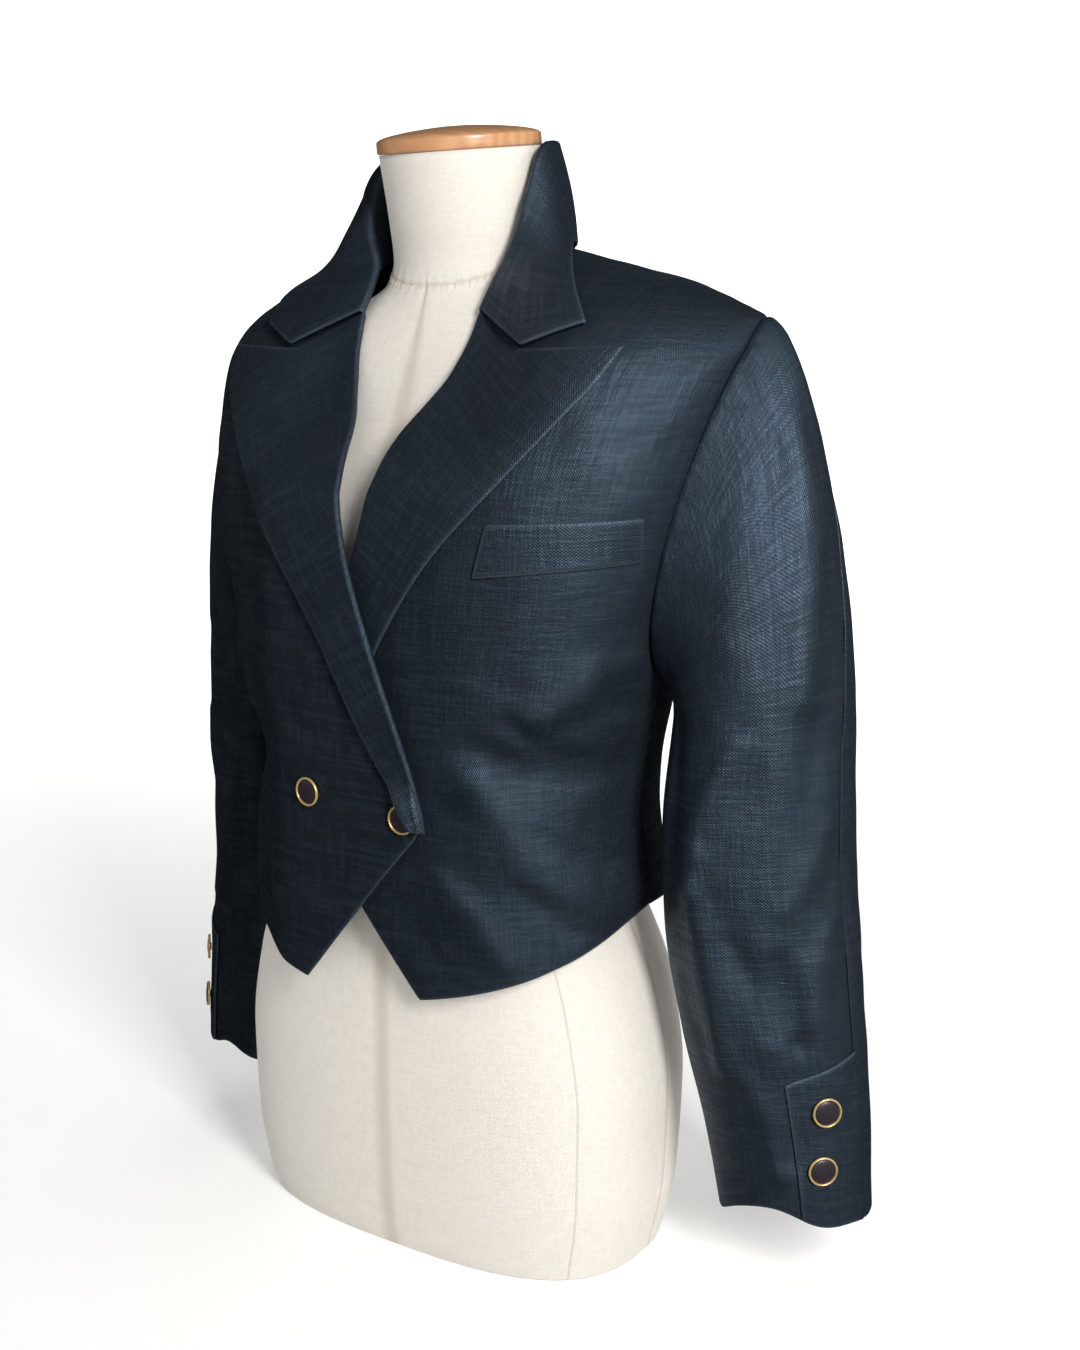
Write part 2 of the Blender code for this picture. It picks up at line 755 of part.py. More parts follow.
def material(name, colour, rough, metal=0.0):
    mat = bpy.data.materials.new(name)
    mat.use_nodes = True
    shader = mat.node_tree.nodes["Principled BSDF"]
    shader.inputs["Base Color"].default_value = colour + (1.0,)
    shader.inputs["Roughness"].default_value = rough
    shader.inputs["Metallic"].default_value = metal
    return mat


def add(name, bm, colour, rough, metal=0.0):
    mesh = bpy.data.meshes.new(name)
    bm.to_mesh(mesh)
    bm.free()
    thing = bpy.data.objects.new(name, mesh)
    mesh.materials.append(material(name, colour, rough, metal))
    collection.objects.link(thing)
    return thing


def panel(name, sheet, thick, us, vs, outward):
    """A grid laid on a sheet at the spots us and vs, and thickened to its inner side."""
    bm = bmesh.new()
    across, up = len(us) - 1, len(vs) - 1
    bmesh.ops.create_grid(bm, x_segments=across, y_segments=up, size=1.0)
    for vert in bm.verts:
        i = round((vert.co.x + 1.0) * 0.5 * across)
        j = round((vert.co.y + 1.0) * 0.5 * up)
        vert.co = sheet(us[i], vs[j])
    bm.normal_update()
    total = sum((face.normal.dot(outward(face.calc_center_median())) for face in bm.faces), 0.0)
    if total < 0.0:
        bmesh.ops.reverse_faces(bm, faces=bm.faces[:])
    thing = add(name, bm, navy, 0.85)
    wall = thing.modifiers.new("wall", "SOLIDIFY")
    wall.thickness = thick
    wall.offset = -1.0
    wall.use_even_offset = False
    wall.use_quality_normals = True
    return thing


def from_axis(p):
    return Vector((p.x, p.y - 0.01, 0.0)).normalized()


def from_sleeve(p):
    return Vector((p.x - math.copysign(0.235, p.x), p.y - 0.012, 0.0)).normalized()


def face_out(bm):
    if bm.calc_volume(signed=True) < 0.0:
        bmesh.ops.reverse_faces(bm, faces=bm.faces[:])


def round_body(name, around, rings, place, colour, rough):
    """A closed round body whose rings are laid by a rule."""
    bm = bmesh.new()
    bmesh.ops.create_uvsphere(bm, u_segments=around, v_segments=rings + 1, radius=1.0)
    for vert in bm.verts:
        ring = round((rings + 1) * math.acos(max(-1.0, min(1.0, vert.co.z))) / math.pi)
        vert.co = place(rings - ring, math.atan2(vert.co.x, -vert.co.y))
    face_out(bm)
    return add(name, bm, colour, rough)


def form_point(level, turn):
    square = form_front_squareness if math.cos(turn) > 0.0 else form_back_squareness
    square = 2.0 + (square - 2.0) * ease(0.70, 0.60, level)
    s = abs(math.sin(turn)) ** (2.0 / square)
    c = abs(math.cos(turn)) ** (2.0 / square)
    front, back = form["front"](level), form["back"](level)
    middle = 0.5 * (front + back)
    y = middle + (front - middle) * math.copysign(c, math.cos(turn))
    x = math.copysign(form["half_width"](level) * s, math.sin(turn))
    return Vector((x, y, level + form["tilt"](level) * (y - middle)))


form_levels = []
for low, high in zip(form_rows, form_rows[1:]):
    form_levels.append(low[0])
    if high[0] - low[0] > 0.045:
        form_levels.append(0.5 * (low[0] + high[0]))
form_levels.append(form_rows[-1][0])


def form_place(ring, turn):
    if ring < 0:
        return Vector((0.0, -0.002, 0.0))
    if ring >= len(form_levels):
        top = form_rows[-1]
        return Vector((0.0, 0.5 * (top[2] + top[3]), top[0]))
    return form_point(form_levels[ring], turn)


round_body("form_body", form_around, len(form_levels), form_place, cream, 0.9)

top_row = form_rows[-1]
cap_middle = Vector((0.0, 0.5 * (top_row[2] + top_row[3]), top_row[0]))
cap_profile = ((0.985, 0.0), (1.0, 0.0012), (1.0, cap_edge), (0.93, cap_edge + 0.35 * cap_dome),
               (0.72, cap_edge + 0.72 * cap_dome), (0.40, cap_edge + 0.94 * cap_dome))
cap_tilt = Matrix.Rotation(math.atan(top_row[4]), 3, "X")


def cap_place(ring, turn):
    if ring < 0:
        return cap_middle + cap_tilt @ Vector((0.0, 0.0, seam_gap))
    if ring >= len(cap_profile):
        return cap_middle + cap_tilt @ Vector((0.0, 0.0, seam_gap + cap_edge + cap_dome))
    reach, rise = cap_profile[ring]
    flat = Vector((math.sin(turn), -math.cos(turn), 0.0)) * cap_radius * reach
    flat.z = seam_gap + rise
    return cap_middle + cap_tilt @ flat


round_body("form_cap", 24, len(cap_profile), cap_place, wood, 0.35)


def even(count):
    return [i / count for i in range(count + 1)]


def with_spots(parts):
    """Rows that keep the corners of a panel, from (start, end, count) parts."""
    out = [parts[0][0]]
    for start, end, count in parts:
        out += [start + (end - start) * (k + 1) / count for k in range(count)]
    return out


front_rows = with_spots((
    (0.0, break_share, 5),
    (break_share, arm_share, 4),
    (arm_share, 0.62, 3),
    (0.62, roll_share, 6),
    (roll_share, 1.0, 3),
))
front_columns = even(13)[:-1] + [0.992, 1.0]
for side, name in ((1, "front_left"), (-1, "front_right")):
    panel(name, lambda u, v, s=side: front_sheet(u, v, s), cloth, front_columns, front_rows, from_axis)

back_rows = with_spots(((0.0, arm_share, 8), (arm_share, 0.62, 3), (0.62, 0.93, 6), (0.93, 1.0, 2)))
half_columns = with_spots(((0.0, neck_corner, 3), (neck_corner, 0.988, 9), (0.988, 1.0, 1)))
back_columns = [0.5 - 0.5 * h for h in reversed(half_columns)] + [0.5 + 0.5 * h for h in half_columns[1:]]
panel("back", back_sheet, cloth, back_columns, back_rows, from_axis)

lapel_columns = with_spots(((0.0, 0.34, 5), (0.34, 1.0, 6)))
for side, name in ((1, "lapel_left"), (-1, "lapel_right")):
    panel(name, lambda u, v, s=side: lapel_sheet(u, v, s), lapel_cloth, lapel_columns, even(15),
          lambda p: Vector((0.0, -1.0, 0.15)))

collar_rows = with_spots(((0.0, stand_share, 3), (stand_share, arc_share, 4), (arc_share, 1.0, 5)))
panel("collar", collar_sheet, collar_cloth, even(26), collar_rows,
      lambda p: from_axis(p) + Vector((0, 0, 0.5)))

sleeve_spots = [0.0, 0.004] + with_spots(((0.0, head_share, 7), (head_share, 1.0, 10)))[1:]
upper_columns = [0.0, 0.012] + even(8)[1:-1] + [0.988, 1.0]
under_columns = [0.0, 0.012] + even(9)[1:-1] + [0.988, 1.0]
for side, label in ((1, "left"), (-1, "right")):
    panel("sleeve_%s_upper" % label, lambda u, v, s=side: upper_sleeve(u, v, s), cloth,
          upper_columns, sleeve_spots, from_sleeve)
    panel("sleeve_%s_under" % label, lambda u, v, s=side: under_sleeve(u, v, s), cloth,
          under_columns, sleeve_spots, from_sleeve)
    panel("cuff_tab_%s" % label, lambda u, v, s=side: tab_sheet(u, v, s), trim_cloth,
          even(5), even(8), from_sleeve)

panel("pocket_welt", welt_sheet, trim_cloth, even(10), even(3), from_axis)


# buttons: a metal rim round a domed face on a short shank
face_radius = button_radius - button_rim - 0.0003
face_profile = ((0.0032, 0.0), (0.0032, 0.0009), (face_radius * 0.97, 0.0012), (face_radius, 0.0019),
                (face_radius * 0.72, button_height * 0.86), (face_radius * 0.38, button_height * 0.97))


def button(name, place, normal):
    turned = normal.to_track_quat("Z", "Y").to_matrix()

    def face_place(ring, turn):
        reach, rise = 0.0, 0.0
        if ring >= len(face_profile):
            rise = button_height
        elif ring >= 0:
            reach, rise = face_profile[ring]
        return place + turned @ Vector((math.sin(turn) * reach, -math.cos(turn) * reach, button_stand + rise))

    round_body(name + "_face", 14, len(face_profile), face_place, satin, 0.3)
    bm = bmesh.new()
    bmesh.ops.create_grid(bm, x_segments=14, y_segments=5, size=1.0)
    for vert in bm.verts:
        around = math.pi * (vert.co.x + 1.0)
        section = math.pi * (vert.co.y + 1.0)
        reach = button_radius - 0.5 * button_rim + 0.5 * button_rim * math.cos(section)
        rise = button_stand + 0.0019 + 0.0010 * math.sin(section)
        vert.co = place + turned @ Vector((reach * math.cos(around), reach * math.sin(around), rise))
    bmesh.ops.remove_doubles(bm, verts=bm.verts[:], dist=0.00001)
    face_out(bm)
    add(name + "_rim", bm, gold, 0.25, 1.0)


for name, (x, z) in front_button_places.items():
    here = on_front(x, z, -1, 0.0)
    side_step = on_front(x + 0.006, z, -1, 0.0) - on_front(x - 0.006, z, -1, 0.0)
    up_step = on_front(x, z + 0.006, -1, 0.0) - on_front(x, z - 0.006, -1, 0.0)
    normal = side_step.cross(up_step).normalized()
    button(name, here, normal)

for side, label in ((1, "left"), (-1, "right")):
    for name, level in cuff_button_levels.items():
        lift = trim_gap + trim_cloth
        v = level_share(level)
        turn = cuff_button_turns[name]
        here = sleeve_point(turn, v, side, lift)
        around = sleeve_point(turn + 0.1, v, side, lift) - sleeve_point(turn - 0.1, v, side, lift)
        along = sleeve_point(turn, v + 0.01, side, lift) - sleeve_point(turn, v - 0.01, side, lift)
        normal = around.cross(along).normalized() * side
        if normal.dot(from_sleeve(here)) < 0.0:
            normal = -normal
        button("cuff_button_%s_%s" % (label, name), here, normal)
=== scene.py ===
import math

import bpy
import numpy as np
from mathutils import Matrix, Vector


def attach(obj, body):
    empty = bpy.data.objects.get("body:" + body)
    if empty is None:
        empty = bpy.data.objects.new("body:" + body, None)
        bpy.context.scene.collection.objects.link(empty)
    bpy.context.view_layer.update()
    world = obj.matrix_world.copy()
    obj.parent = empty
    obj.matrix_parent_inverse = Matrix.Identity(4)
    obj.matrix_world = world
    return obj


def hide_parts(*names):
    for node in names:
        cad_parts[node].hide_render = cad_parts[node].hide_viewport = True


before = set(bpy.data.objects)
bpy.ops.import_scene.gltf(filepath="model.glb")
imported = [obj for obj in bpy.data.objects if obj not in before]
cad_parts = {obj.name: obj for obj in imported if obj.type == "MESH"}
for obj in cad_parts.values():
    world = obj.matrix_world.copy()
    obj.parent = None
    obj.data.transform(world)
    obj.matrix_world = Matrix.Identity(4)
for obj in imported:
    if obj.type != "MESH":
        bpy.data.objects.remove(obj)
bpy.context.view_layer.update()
scene = bpy.context.scene
sides = ((1, "left"), (-1, "right"))  # the wearer's
print("frame loaded")


# small tools for lines and grids

def ease(a, b, x):
    t = np.clip((np.asarray(x, float) - a) / (b - a), 0.0, 1.0)
    return t * t * (3.0 - 2.0 * t)


def bell(x, width):
    return np.exp(-(np.asarray(x, float) / width) ** 2)


def unit(v):
    return v / (np.linalg.norm(v, axis=-1, keepdims=True) + 1e-12)


def dot(a, b):
    return (a * b).sum(-1)


def mix(a, b, t):
    return a + (b - a) * np.asarray(t)[..., None]


class Curve:  # a smooth line through a column of a table, without overshoot
    def __init__(self, xs, ys):
        order = np.argsort(xs)
        self.xs = np.array(xs, float)[order]
        self.ys = np.array(ys, float)[order]
        steps = np.diff(self.ys) / np.diff(self.xs)
        inner = [0.0 if a * b <= 0.0 else 2.0 * a * b / (a + b) for a, b in zip(steps, steps[1:])]
        self.ms = np.array([steps[0]] + inner + [steps[-1]])

    def __call__(self, x):
        x = np.clip(x, self.xs[0], self.xs[-1])
        i = np.clip(np.searchsorted(self.xs, x, side="right") - 1, 0, len(self.xs) - 2)
        h = self.xs[i + 1] - self.xs[i]
        t = (x - self.xs[i]) / h
        begin = self.ys[i] * (2 * t ** 3 - 3 * t ** 2 + 1) + self.ms[i] * h * (t ** 3 - 2 * t ** 2 + t)
        return begin + self.ys[i + 1] * (3 * t ** 2 - 2 * t ** 3) + self.ms[i + 1] * h * (t ** 3 - t ** 2)


class Path:  # a smooth line through points, by its share of the length
    def __init__(self, points):
        points = np.array([tuple(p) for p in points], float)
        gaps = np.linalg.norm(np.diff(points, axis=0), axis=1)
        at = np.concatenate([[0.0], np.cumsum(gaps)]) / gaps.sum()
        self.parts = [Curve(at, points[:, k]) for k in range(points.shape[1])]

    def __call__(self, t):
        return np.stack([part(t) for part in self.parts], -1)


def tableCurves(columns, rows):
    data = np.array(rows)
    return {name: Curve(data[:, 0], data[:, k]) for k, name in enumerate(columns) if k}


def spots(count, first=0.0, last=0.0):  # even spots, with close ones by an edge that is rolled
    out = [k / count for k in range(count + 1)]
    if first:
        out = [0.0, first * 0.3, first * 0.65, first] + [s for s in out if s > first * 1.6]
    if last:
        out = [s for s in out if s < 1.0 - last * 1.6] + [1.0 - last, 1.0 - last * 0.65, 1.0 - last * 0.3, 1.0]
    return np.array(out)


def withSpot(values, spot):  # moves the nearest spot of a list onto a corner of the cut
    values = np.array(values)
    values[np.argmin(np.abs(values - spot))] = spot
    return values


# the body of the jacket

jacketBody = {
    "frontSquare": 2.85,
    "backSquare": 2.35,
    "shoulderTop": 0.741,
    "shoulderTip": 0.013,
    "ridgeLevel": 0.7409,
    "ridgeGap": 0.0007,
    "underarm": 0.437,
    "sideHem": 0.262,
    "backHem": 0.250,
    "neckSide": 0.0670,
    "neckBack": 0.7305,
    "seamGap": 0.0003,
    "columns": ("level", "halfWidth", "front", "back", "middle", "drop"),
    "rows": (
        (0.180, 0.160, -0.134, 0.119, 0.004, 0.000),
        (0.250, 0.155, -0.134, 0.115, 0.004, 0.000),
        (0.340, 0.147, -0.133, 0.102, 0.002, 0.000),
        (0.420, 0.160, -0.135, 0.107, 0.003, 0.000),
        (0.500, 0.180, -0.136, 0.117, 0.008, 0.000),
        (0.560, 0.192, -0.131, 0.122, 0.014, 0.003),
        (0.620, 0.203, -0.115, 0.121, 0.022, 0.015),
        (0.670, 0.212, -0.090, 0.112, 0.028, 0.030),
        (0.705, 0.218, -0.057, 0.098, 0.031, 0.041),
        (0.724, 0.220, -0.028, 0.083, 0.032, 0.046),
        (0.735, 0.221, -0.002, 0.064, 0.032, 0.049),
        (0.741, 0.222, 0.032, 0.032, 0.032, 0.051),
    ),
}
block = tableCurves(jacketBody["columns"], jacketBody["rows"])
seamTurn = 0.5 * jacketBody["seamGap"] / 0.16


def shoulderTip(level, s):
    return jacketBody["shoulderTip"] * ease(0.66, 0.741, level) * s ** 6


def blockPoint(level, turn):
    level, turn = np.broadcast_arrays(np.asarray(level, float), np.asarray(turn, float))
    front = np.cos(turn) > 0.0
    square = np.where(front, jacketBody["frontSquare"], jacketBody["backSquare"])
    s = np.abs(np.sin(turn)) ** (2.0 / square)
    c = np.abs(np.cos(turn)) ** (2.0 / square)
    middle = block["middle"](level)
    reach = np.where(front, block["front"](level), block["back"](level))
    x = np.copysign(block["halfWidth"](level) * s, np.sin(turn))
    z = level - block["drop"](level) * s - shoulderTip(level, s)
    return np.stack([x, middle + (reach - middle) * c, z], -1)


def blockNormal(level, turn):
    h = 0.0015
    level = np.minimum(level, jacketBody["shoulderTop"] - 2.0 * h)
    up = blockPoint(level + h, turn) - blockPoint(level - h, turn)
    side = blockPoint(level, turn + h * 4.0) - blockPoint(level, turn - h * 4.0)
    return unit(np.cross(side, up))


def findFront(x, z):  # level and turn of the block at a place in front view
    x, z = np.broadcast_arrays(np.asarray(x, float), np.asarray(z, float))
    level = z
    for _ in range(14):
        s = np.minimum(np.abs(x) / block["halfWidth"](level), 0.9995)
        level = np.minimum(z + block["drop"](level) * s + shoulderTip(level, s), jacketBody["shoulderTop"])
    return level, np.copysign(np.arcsin(s ** (jacketBody["frontSquare"] / 2.0)), x)


def findSide(y, z):  # the same on the left side, at a place in side view
    level = z
    for _ in range(20):
        middle = block["middle"](level)
        ahead = y < middle
        reach = np.where(ahead, block["front"](level), block["back"](level)) - middle
        c = np.minimum(np.abs(y - middle) / np.maximum(np.abs(reach), 1e-5), 0.999)
        square = np.where(ahead, jacketBody["frontSquare"], jacketBody["backSquare"])
        turn = np.arccos(c ** (square / 2.0))
        s = np.sin(turn) ** (2.0 / square)
        aim = np.minimum(z + block["drop"](level) * s + shoulderTip(level, s), jacketBody["shoulderTop"])
        level = 0.5 * level + 0.5 * aim
        turn = np.where(y > middle, math.pi - turn, turn)
    return level, turn


armholeCut = {
    "low": 0.006,
    "high": 0.032,
    "front": 0.050,
    "back": 0.056,
    "egg": 0.33,
    "tip": math.radians(83.0),
}
armholeTop = blockPoint(jacketBody["shoulderTop"], math.pi / 2.0)[2]


def armhole(turn):  # from the shoulder to the front, the underarm and the back
    turn = np.asarray(turn, float)
    half = 0.5 * (armholeTop - jacketBody["underarm"])
    z = jacketBody["underarm"] + half + half * np.cos(turn)
    side = np.sin(turn)
    wide = np.where(side > 0.0, armholeCut["front"], armholeCut["back"])
    centre = armholeCut["low"] + (armholeCut["high"] - armholeCut["low"]) * (0.5 + 0.5 * np.cos(turn))
    level, around = findSide(centre - wide * side * (1.0 - armholeCut["egg"] * np.cos(turn)), z)
    held = np.where(side >= 0.0, np.minimum(around, armholeCut["tip"]),
                    np.maximum(around, math.pi - armholeCut["tip"]))
    return level, np.where(np.cos(turn) > 0.9, held, around)


# creases: a ridge (+) or a trough (-) between two places, bowed to one side

def creaseLift(rows, x, z):
    lift = np.zeros(np.broadcast(x, z).shape)
    for fromX, fromZ, toX, toZ, width, depth, bow in rows:
        dx, dz = toX - fromX, toZ - fromZ
        long = math.hypot(dx, dz)
        t = np.clip(((x - fromX) * dx + (z - fromZ) * dz) / long ** 2, 0.0, 1.0)
        aside = ((x - fromX) * dz - (z - fromZ) * dx) / long - bow * 4.0 * t * (1.0 - t)
        beyond = ((x - fromX) * dx + (z - fromZ) * dz) / long - long * t
        width = width * np.where(aside > 0.0, 1.12, 0.86) * (0.8 + 0.4 * np.sin(math.pi * t))
        lift = lift + depth * (0.7 + 0.3 * np.sin(math.pi * t)) * bell(np.hypot(aside, beyond), width)
    return lift


def rumple(x, y, deep, seed):  # the slight unevenness of pressed linen
    lift = 0.0
    for k, (fx, fy) in enumerate(((31.0, 12.0), (-17.0, 43.0), (58.0, 27.0), (-49.0, 71.0), (96.0, -38.0))):
        phase = seed * 1.7 + k * 2.3
        bent = 1.3 * np.sin(19.0 * y + phase)
        lift = lift + np.sin(2.0 * (fx * x + fy * y) + phase + bent) / (1.0 + 0.7 * k)
    return deep * lift


frontCut = {
    "breakHeight": 0.333,
    "breakReach": 0.0575,
    "hemPoint": (0.047, 0.212),
    "rollInset": 0.0063,
    "breakShare": 0.26,
    "rollShare": 0.90,
    "armShare": 0.50,
    "overlapLift": 0.0080,
    "rollLine": ((-0.0575, 0.336), (-0.0555, 0.349), (-0.0462, 0.3843), (-0.0210, 0.456), (0.0010, 0.525),
                 (0.0111, 0.5676), (0.0202, 0.5998), (0.0400, 0.6388), (0.0470, 0.6619), (0.0492, 0.680)),
    "neckDip": ((0.560, 0.0), (0.5869, 0.0080), (0.5998, 0.0140), (0.6192, 0.0238), (0.6388, 0.0291),
                (0.6619, 0.0271), (0.6784, 0.0208), (0.6917, 0.0140), (0.7086, 0.0030), (0.720, 0.0)),
    "dipReach": 0.050,
    "dipFade": 0.053,
    "thick": 0.0016,
    "rumple": 0.00030,
    "large": {
        1: (
            (0.166, 0.455, 0.128, 0.418, 0.012, 0.0060, 0.000),
            (0.090, 0.395, 0.150, 0.372, 0.013, -0.0050, 0.003),
            (0.088, 0.370, 0.150, 0.278, 0.016, 0.0052, 0.004),
            (0.066, 0.300, 0.106, 0.248, 0.012, 0.0036, -0.003),
        ),
        -1: (
            (-0.150, 0.450, -0.120, 0.405, 0.013, 0.0050, 0.002),
            (-0.142, 0.360, -0.118, 0.265, 0.013, 0.0045, -0.003),
            (-0.090, 0.385, -0.130, 0.350, 0.014, -0.0045, 0.002),
        ),
    },
    "small": {
        1: (
            (0.164, 0.462, 0.156, 0.416, 0.0050, -0.0030, 0.002),
            (0.168, 0.434, 0.159, 0.404, 0.0050, 0.0032, -0.002),
            (0.112, 0.413, 0.148, 0.383, 0.0070, -0.0024, 0.003),
            (0.180, 0.636, 0.185, 0.612, 0.0045, -0.0014, 0.001),
            (0.152, 0.612, 0.178, 0.560, 0.0100, 0.0012, 0.004),
            (0.124, 0.336, 0.152, 0.302, 0.0060, -0.0018, 0.002),
            (0.112, 0.300, 0.142, 0.262, 0.0065, -0.0020, -0.002),
            (0.030, 0.285, 0.064, 0.242, 0.0080, -0.0012, 0.002),
            (0.078, 0.440, 0.120, 0.428, 0.0080, 0.0010, 0.003),
            (0.060, 0.362, 0.090, 0.346, 0.0070, -0.0010, 0.002),
        ),
        -1: (
            (-0.162, 0.448, -0.152, 0.398, 0.0055, -0.0030, -0.002),
            (-0.168, 0.430, -0.158, 0.396, 0.0050, 0.0026, 0.002),
            (-0.058, 0.410, -0.036, 0.392, 0.0070, -0.0014, 0.002),
            (-0.100, 0.306, -0.083, 0.262, 0.0070, 0.0022, 0.002),
            (-0.126, 0.330, -0.106, 0.290, 0.0060, -0.0018, -0.002),
            (-0.150, 0.612, -0.176, 0.552, 0.0100, 0.0012, 0.003),
            (-0.046, 0.302, -0.052, 0.252, 0.0090, 0.0010, 0.002),
            (-0.080, 0.444, -0.116, 0.424, 0.0080, 0.0012, 0.003),
        ),
    },
}
hemX, hemZ = frontCut["hemPoint"]
frontPath = Path([(hemX, hemZ), (-frontCut["breakReach"] + frontCut["rollInset"], frontCut["breakHeight"])])
rollPath = Path(frontCut["rollLine"])
dipCurve = Curve(*zip(*frontCut["neckDip"]))


def neckDip(x, z):  # the fronts lie back against the form beside the neck
    return dipCurve(z) * bell(np.maximum(np.abs(x) - frontCut["dipReach"], 0.0), frontCut["dipFade"])


def neckTurn(square):
    wide = float(block["halfWidth"](jacketBody["shoulderTop"]))
    return math.asin((jacketBody["neckSide"] / wide) ** (square / 2.0))


def frontEdge(v):
    brk, roll = frontCut["breakShare"], frontCut["rollShare"]
    low = frontPath(np.clip(v / brk, 0.0, 1.0))
    mid = rollPath(np.clip((v - brk) / (roll - brk), 0.0, 1.0))
    mid = mid + np.array([frontCut["rollInset"], 0.0])
    flat = np.where((v < brk)[..., None], low, mid)
    level, turn = findFront(flat[..., 0], flat[..., 1])
    t = np.clip((v - roll) / (1.0 - roll), 0.0, 1.0)
    level = level + (jacketBody["ridgeLevel"] - level) * np.where(v > roll, t ** 0.8, 0.0)
    return level, turn + (neckTurn(jacketBody["frontSquare"]) - turn) * np.where(v > roll, t, 0.0)


def sideEdge(v, way):  # way 1 for the front's side seam and armhole, -1 for the back's
    share = frontCut["armShare"]
    hem, under = jacketBody["sideHem"], jacketBody["underarm"]
    low = hem + (under - hem) * np.clip(v / share, 0.0, 1.0)
    t = np.clip((v - share) / (1.0 - share), 0.0, 1.0)
    level, turn = armhole(math.pi * (1.0 - t * way))
    level = np.where(v < share, low, np.minimum(level, jacketBody["ridgeLevel"]))
    seam = math.pi / 2.0 - seamTurn * way
    turn = np.where(v < share, seam, np.minimum(turn, seam) if way > 0 else np.maximum(turn, seam))
    return level, turn


def overlap(x, z):
    return frontCut["overlapLift"] * ease(-0.108, -0.066, x) * ease(0.61, 0.54, z)


def frontLift(x, z, side, fine):
    rows = frontCut["large"][side] + (frontCut["small"][side] if fine else ())
    lift = creaseLift(rows, x, z)
    return lift if side > 0 else lift + overlap(x, z)


def frontSheet(u, v, side):
    levelA, turnA = frontEdge(v)
    levelB, turnB = sideEdge(v, 1)
    level, turn = levelA + (levelB - levelA) * u, turnA + (turnB - turnA) * u
    p, n = blockPoint(level, turn), blockNormal(level, turn)
    p[..., 1] -= jacketBody["ridgeGap"] * ease(0.728, jacketBody["ridgeLevel"], level)
    flip = np.array([side, 1.0, 1.0])
    p, n = p * flip, n * flip
    p[..., 1] += neckDip(p[..., 0], p[..., 2])
    lift = creaseLift(frontCut["large"][side] + frontCut["small"][side], p[..., 0], p[..., 2])
    lift = (lift + rumple(turn * 0.17, p[..., 2], frontCut["rumple"], side)) * ease(0.0, 0.06, 1.0 - u)
    if side < 0:
        lift = lift + overlap(p[..., 0], p[..., 2])
    grain = np.stack([turn * 0.17 * side, p[..., 2], np.full(u.shape, 0.1 * side)], -1)
    return p + n * lift[..., None], grain


def onFront(x, z, side, lift, fine=False):  # a point over a front, out from its cloth
    level, turn = findFront(x, z)
    p = blockPoint(level, turn)
    p[..., 1] += neckDip(x, z)
    return p + blockNormal(level, turn) * (frontLift(x, z, side, fine) + lift)[..., None]


lapelCut = {
    "edge": ((-0.0490, 0.3390), (-0.0386, 0.3575), (-0.0200, 0.3860), (0.0052, 0.4295), (0.0215, 0.4600),
             (0.0420, 0.4920), (0.0670, 0.5255), (0.1050, 0.5690), (0.1350, 0.6070), (0.1537, 0.6335),
             (0.163, 0.655)),
    "notch": (0.095, 0.6545),
    "peak": (0.164, 0.656),
    "thick": 0.0018,
    "lay": 0.0030,
    "rise": 0.0060,
    "riseWidth": 0.019,
    "rollColumns": 0.34,
    "topKink": 0.34,
    "wave": 0.0007,
}
edgePath = Path(lapelCut["edge"])
buttonCut = {
    "radius": 0.0105,
    "rim": 0.0016,
    "stand": 0.0004,
    "height": 0.0036,
    "shank": 0.0032,
    "brow": 0.0018,
    "front": {"front_button_outer": (-0.0405, 0.3514), "front_button_edge": (0.0405, 0.3440)},
    "cuffLevels": {"high": 0.143, "low": 0.100},
    "cuffTurns": {"high": math.radians(34.0), "low": math.radians(41.0)},
    "around": 64,
}


def lapelPlace(a, b):  # front view, a from the roll line to the edge, b up the roll line
    roll, edge = rollPath(b), edgePath(b)
    lastRoll, lastEdge = np.array(frontCut["rollLine"][-1]), np.array(lapelCut["edge"][-1])
    notch, peak = np.array(lapelCut["notch"]), np.array(lapelCut["peak"])
    kink = lapelCut["topKink"]
    top = np.where((a < kink)[..., None], mix(lastRoll, notch, a / kink),
                   mix(notch, peak, (a - kink) / (1.0 - kink)))
    straight = mix(lastRoll, lastEdge, a)
    return mix(roll, edge, a) + (top - straight) * ease(0.55, 1.0, b)[..., None]


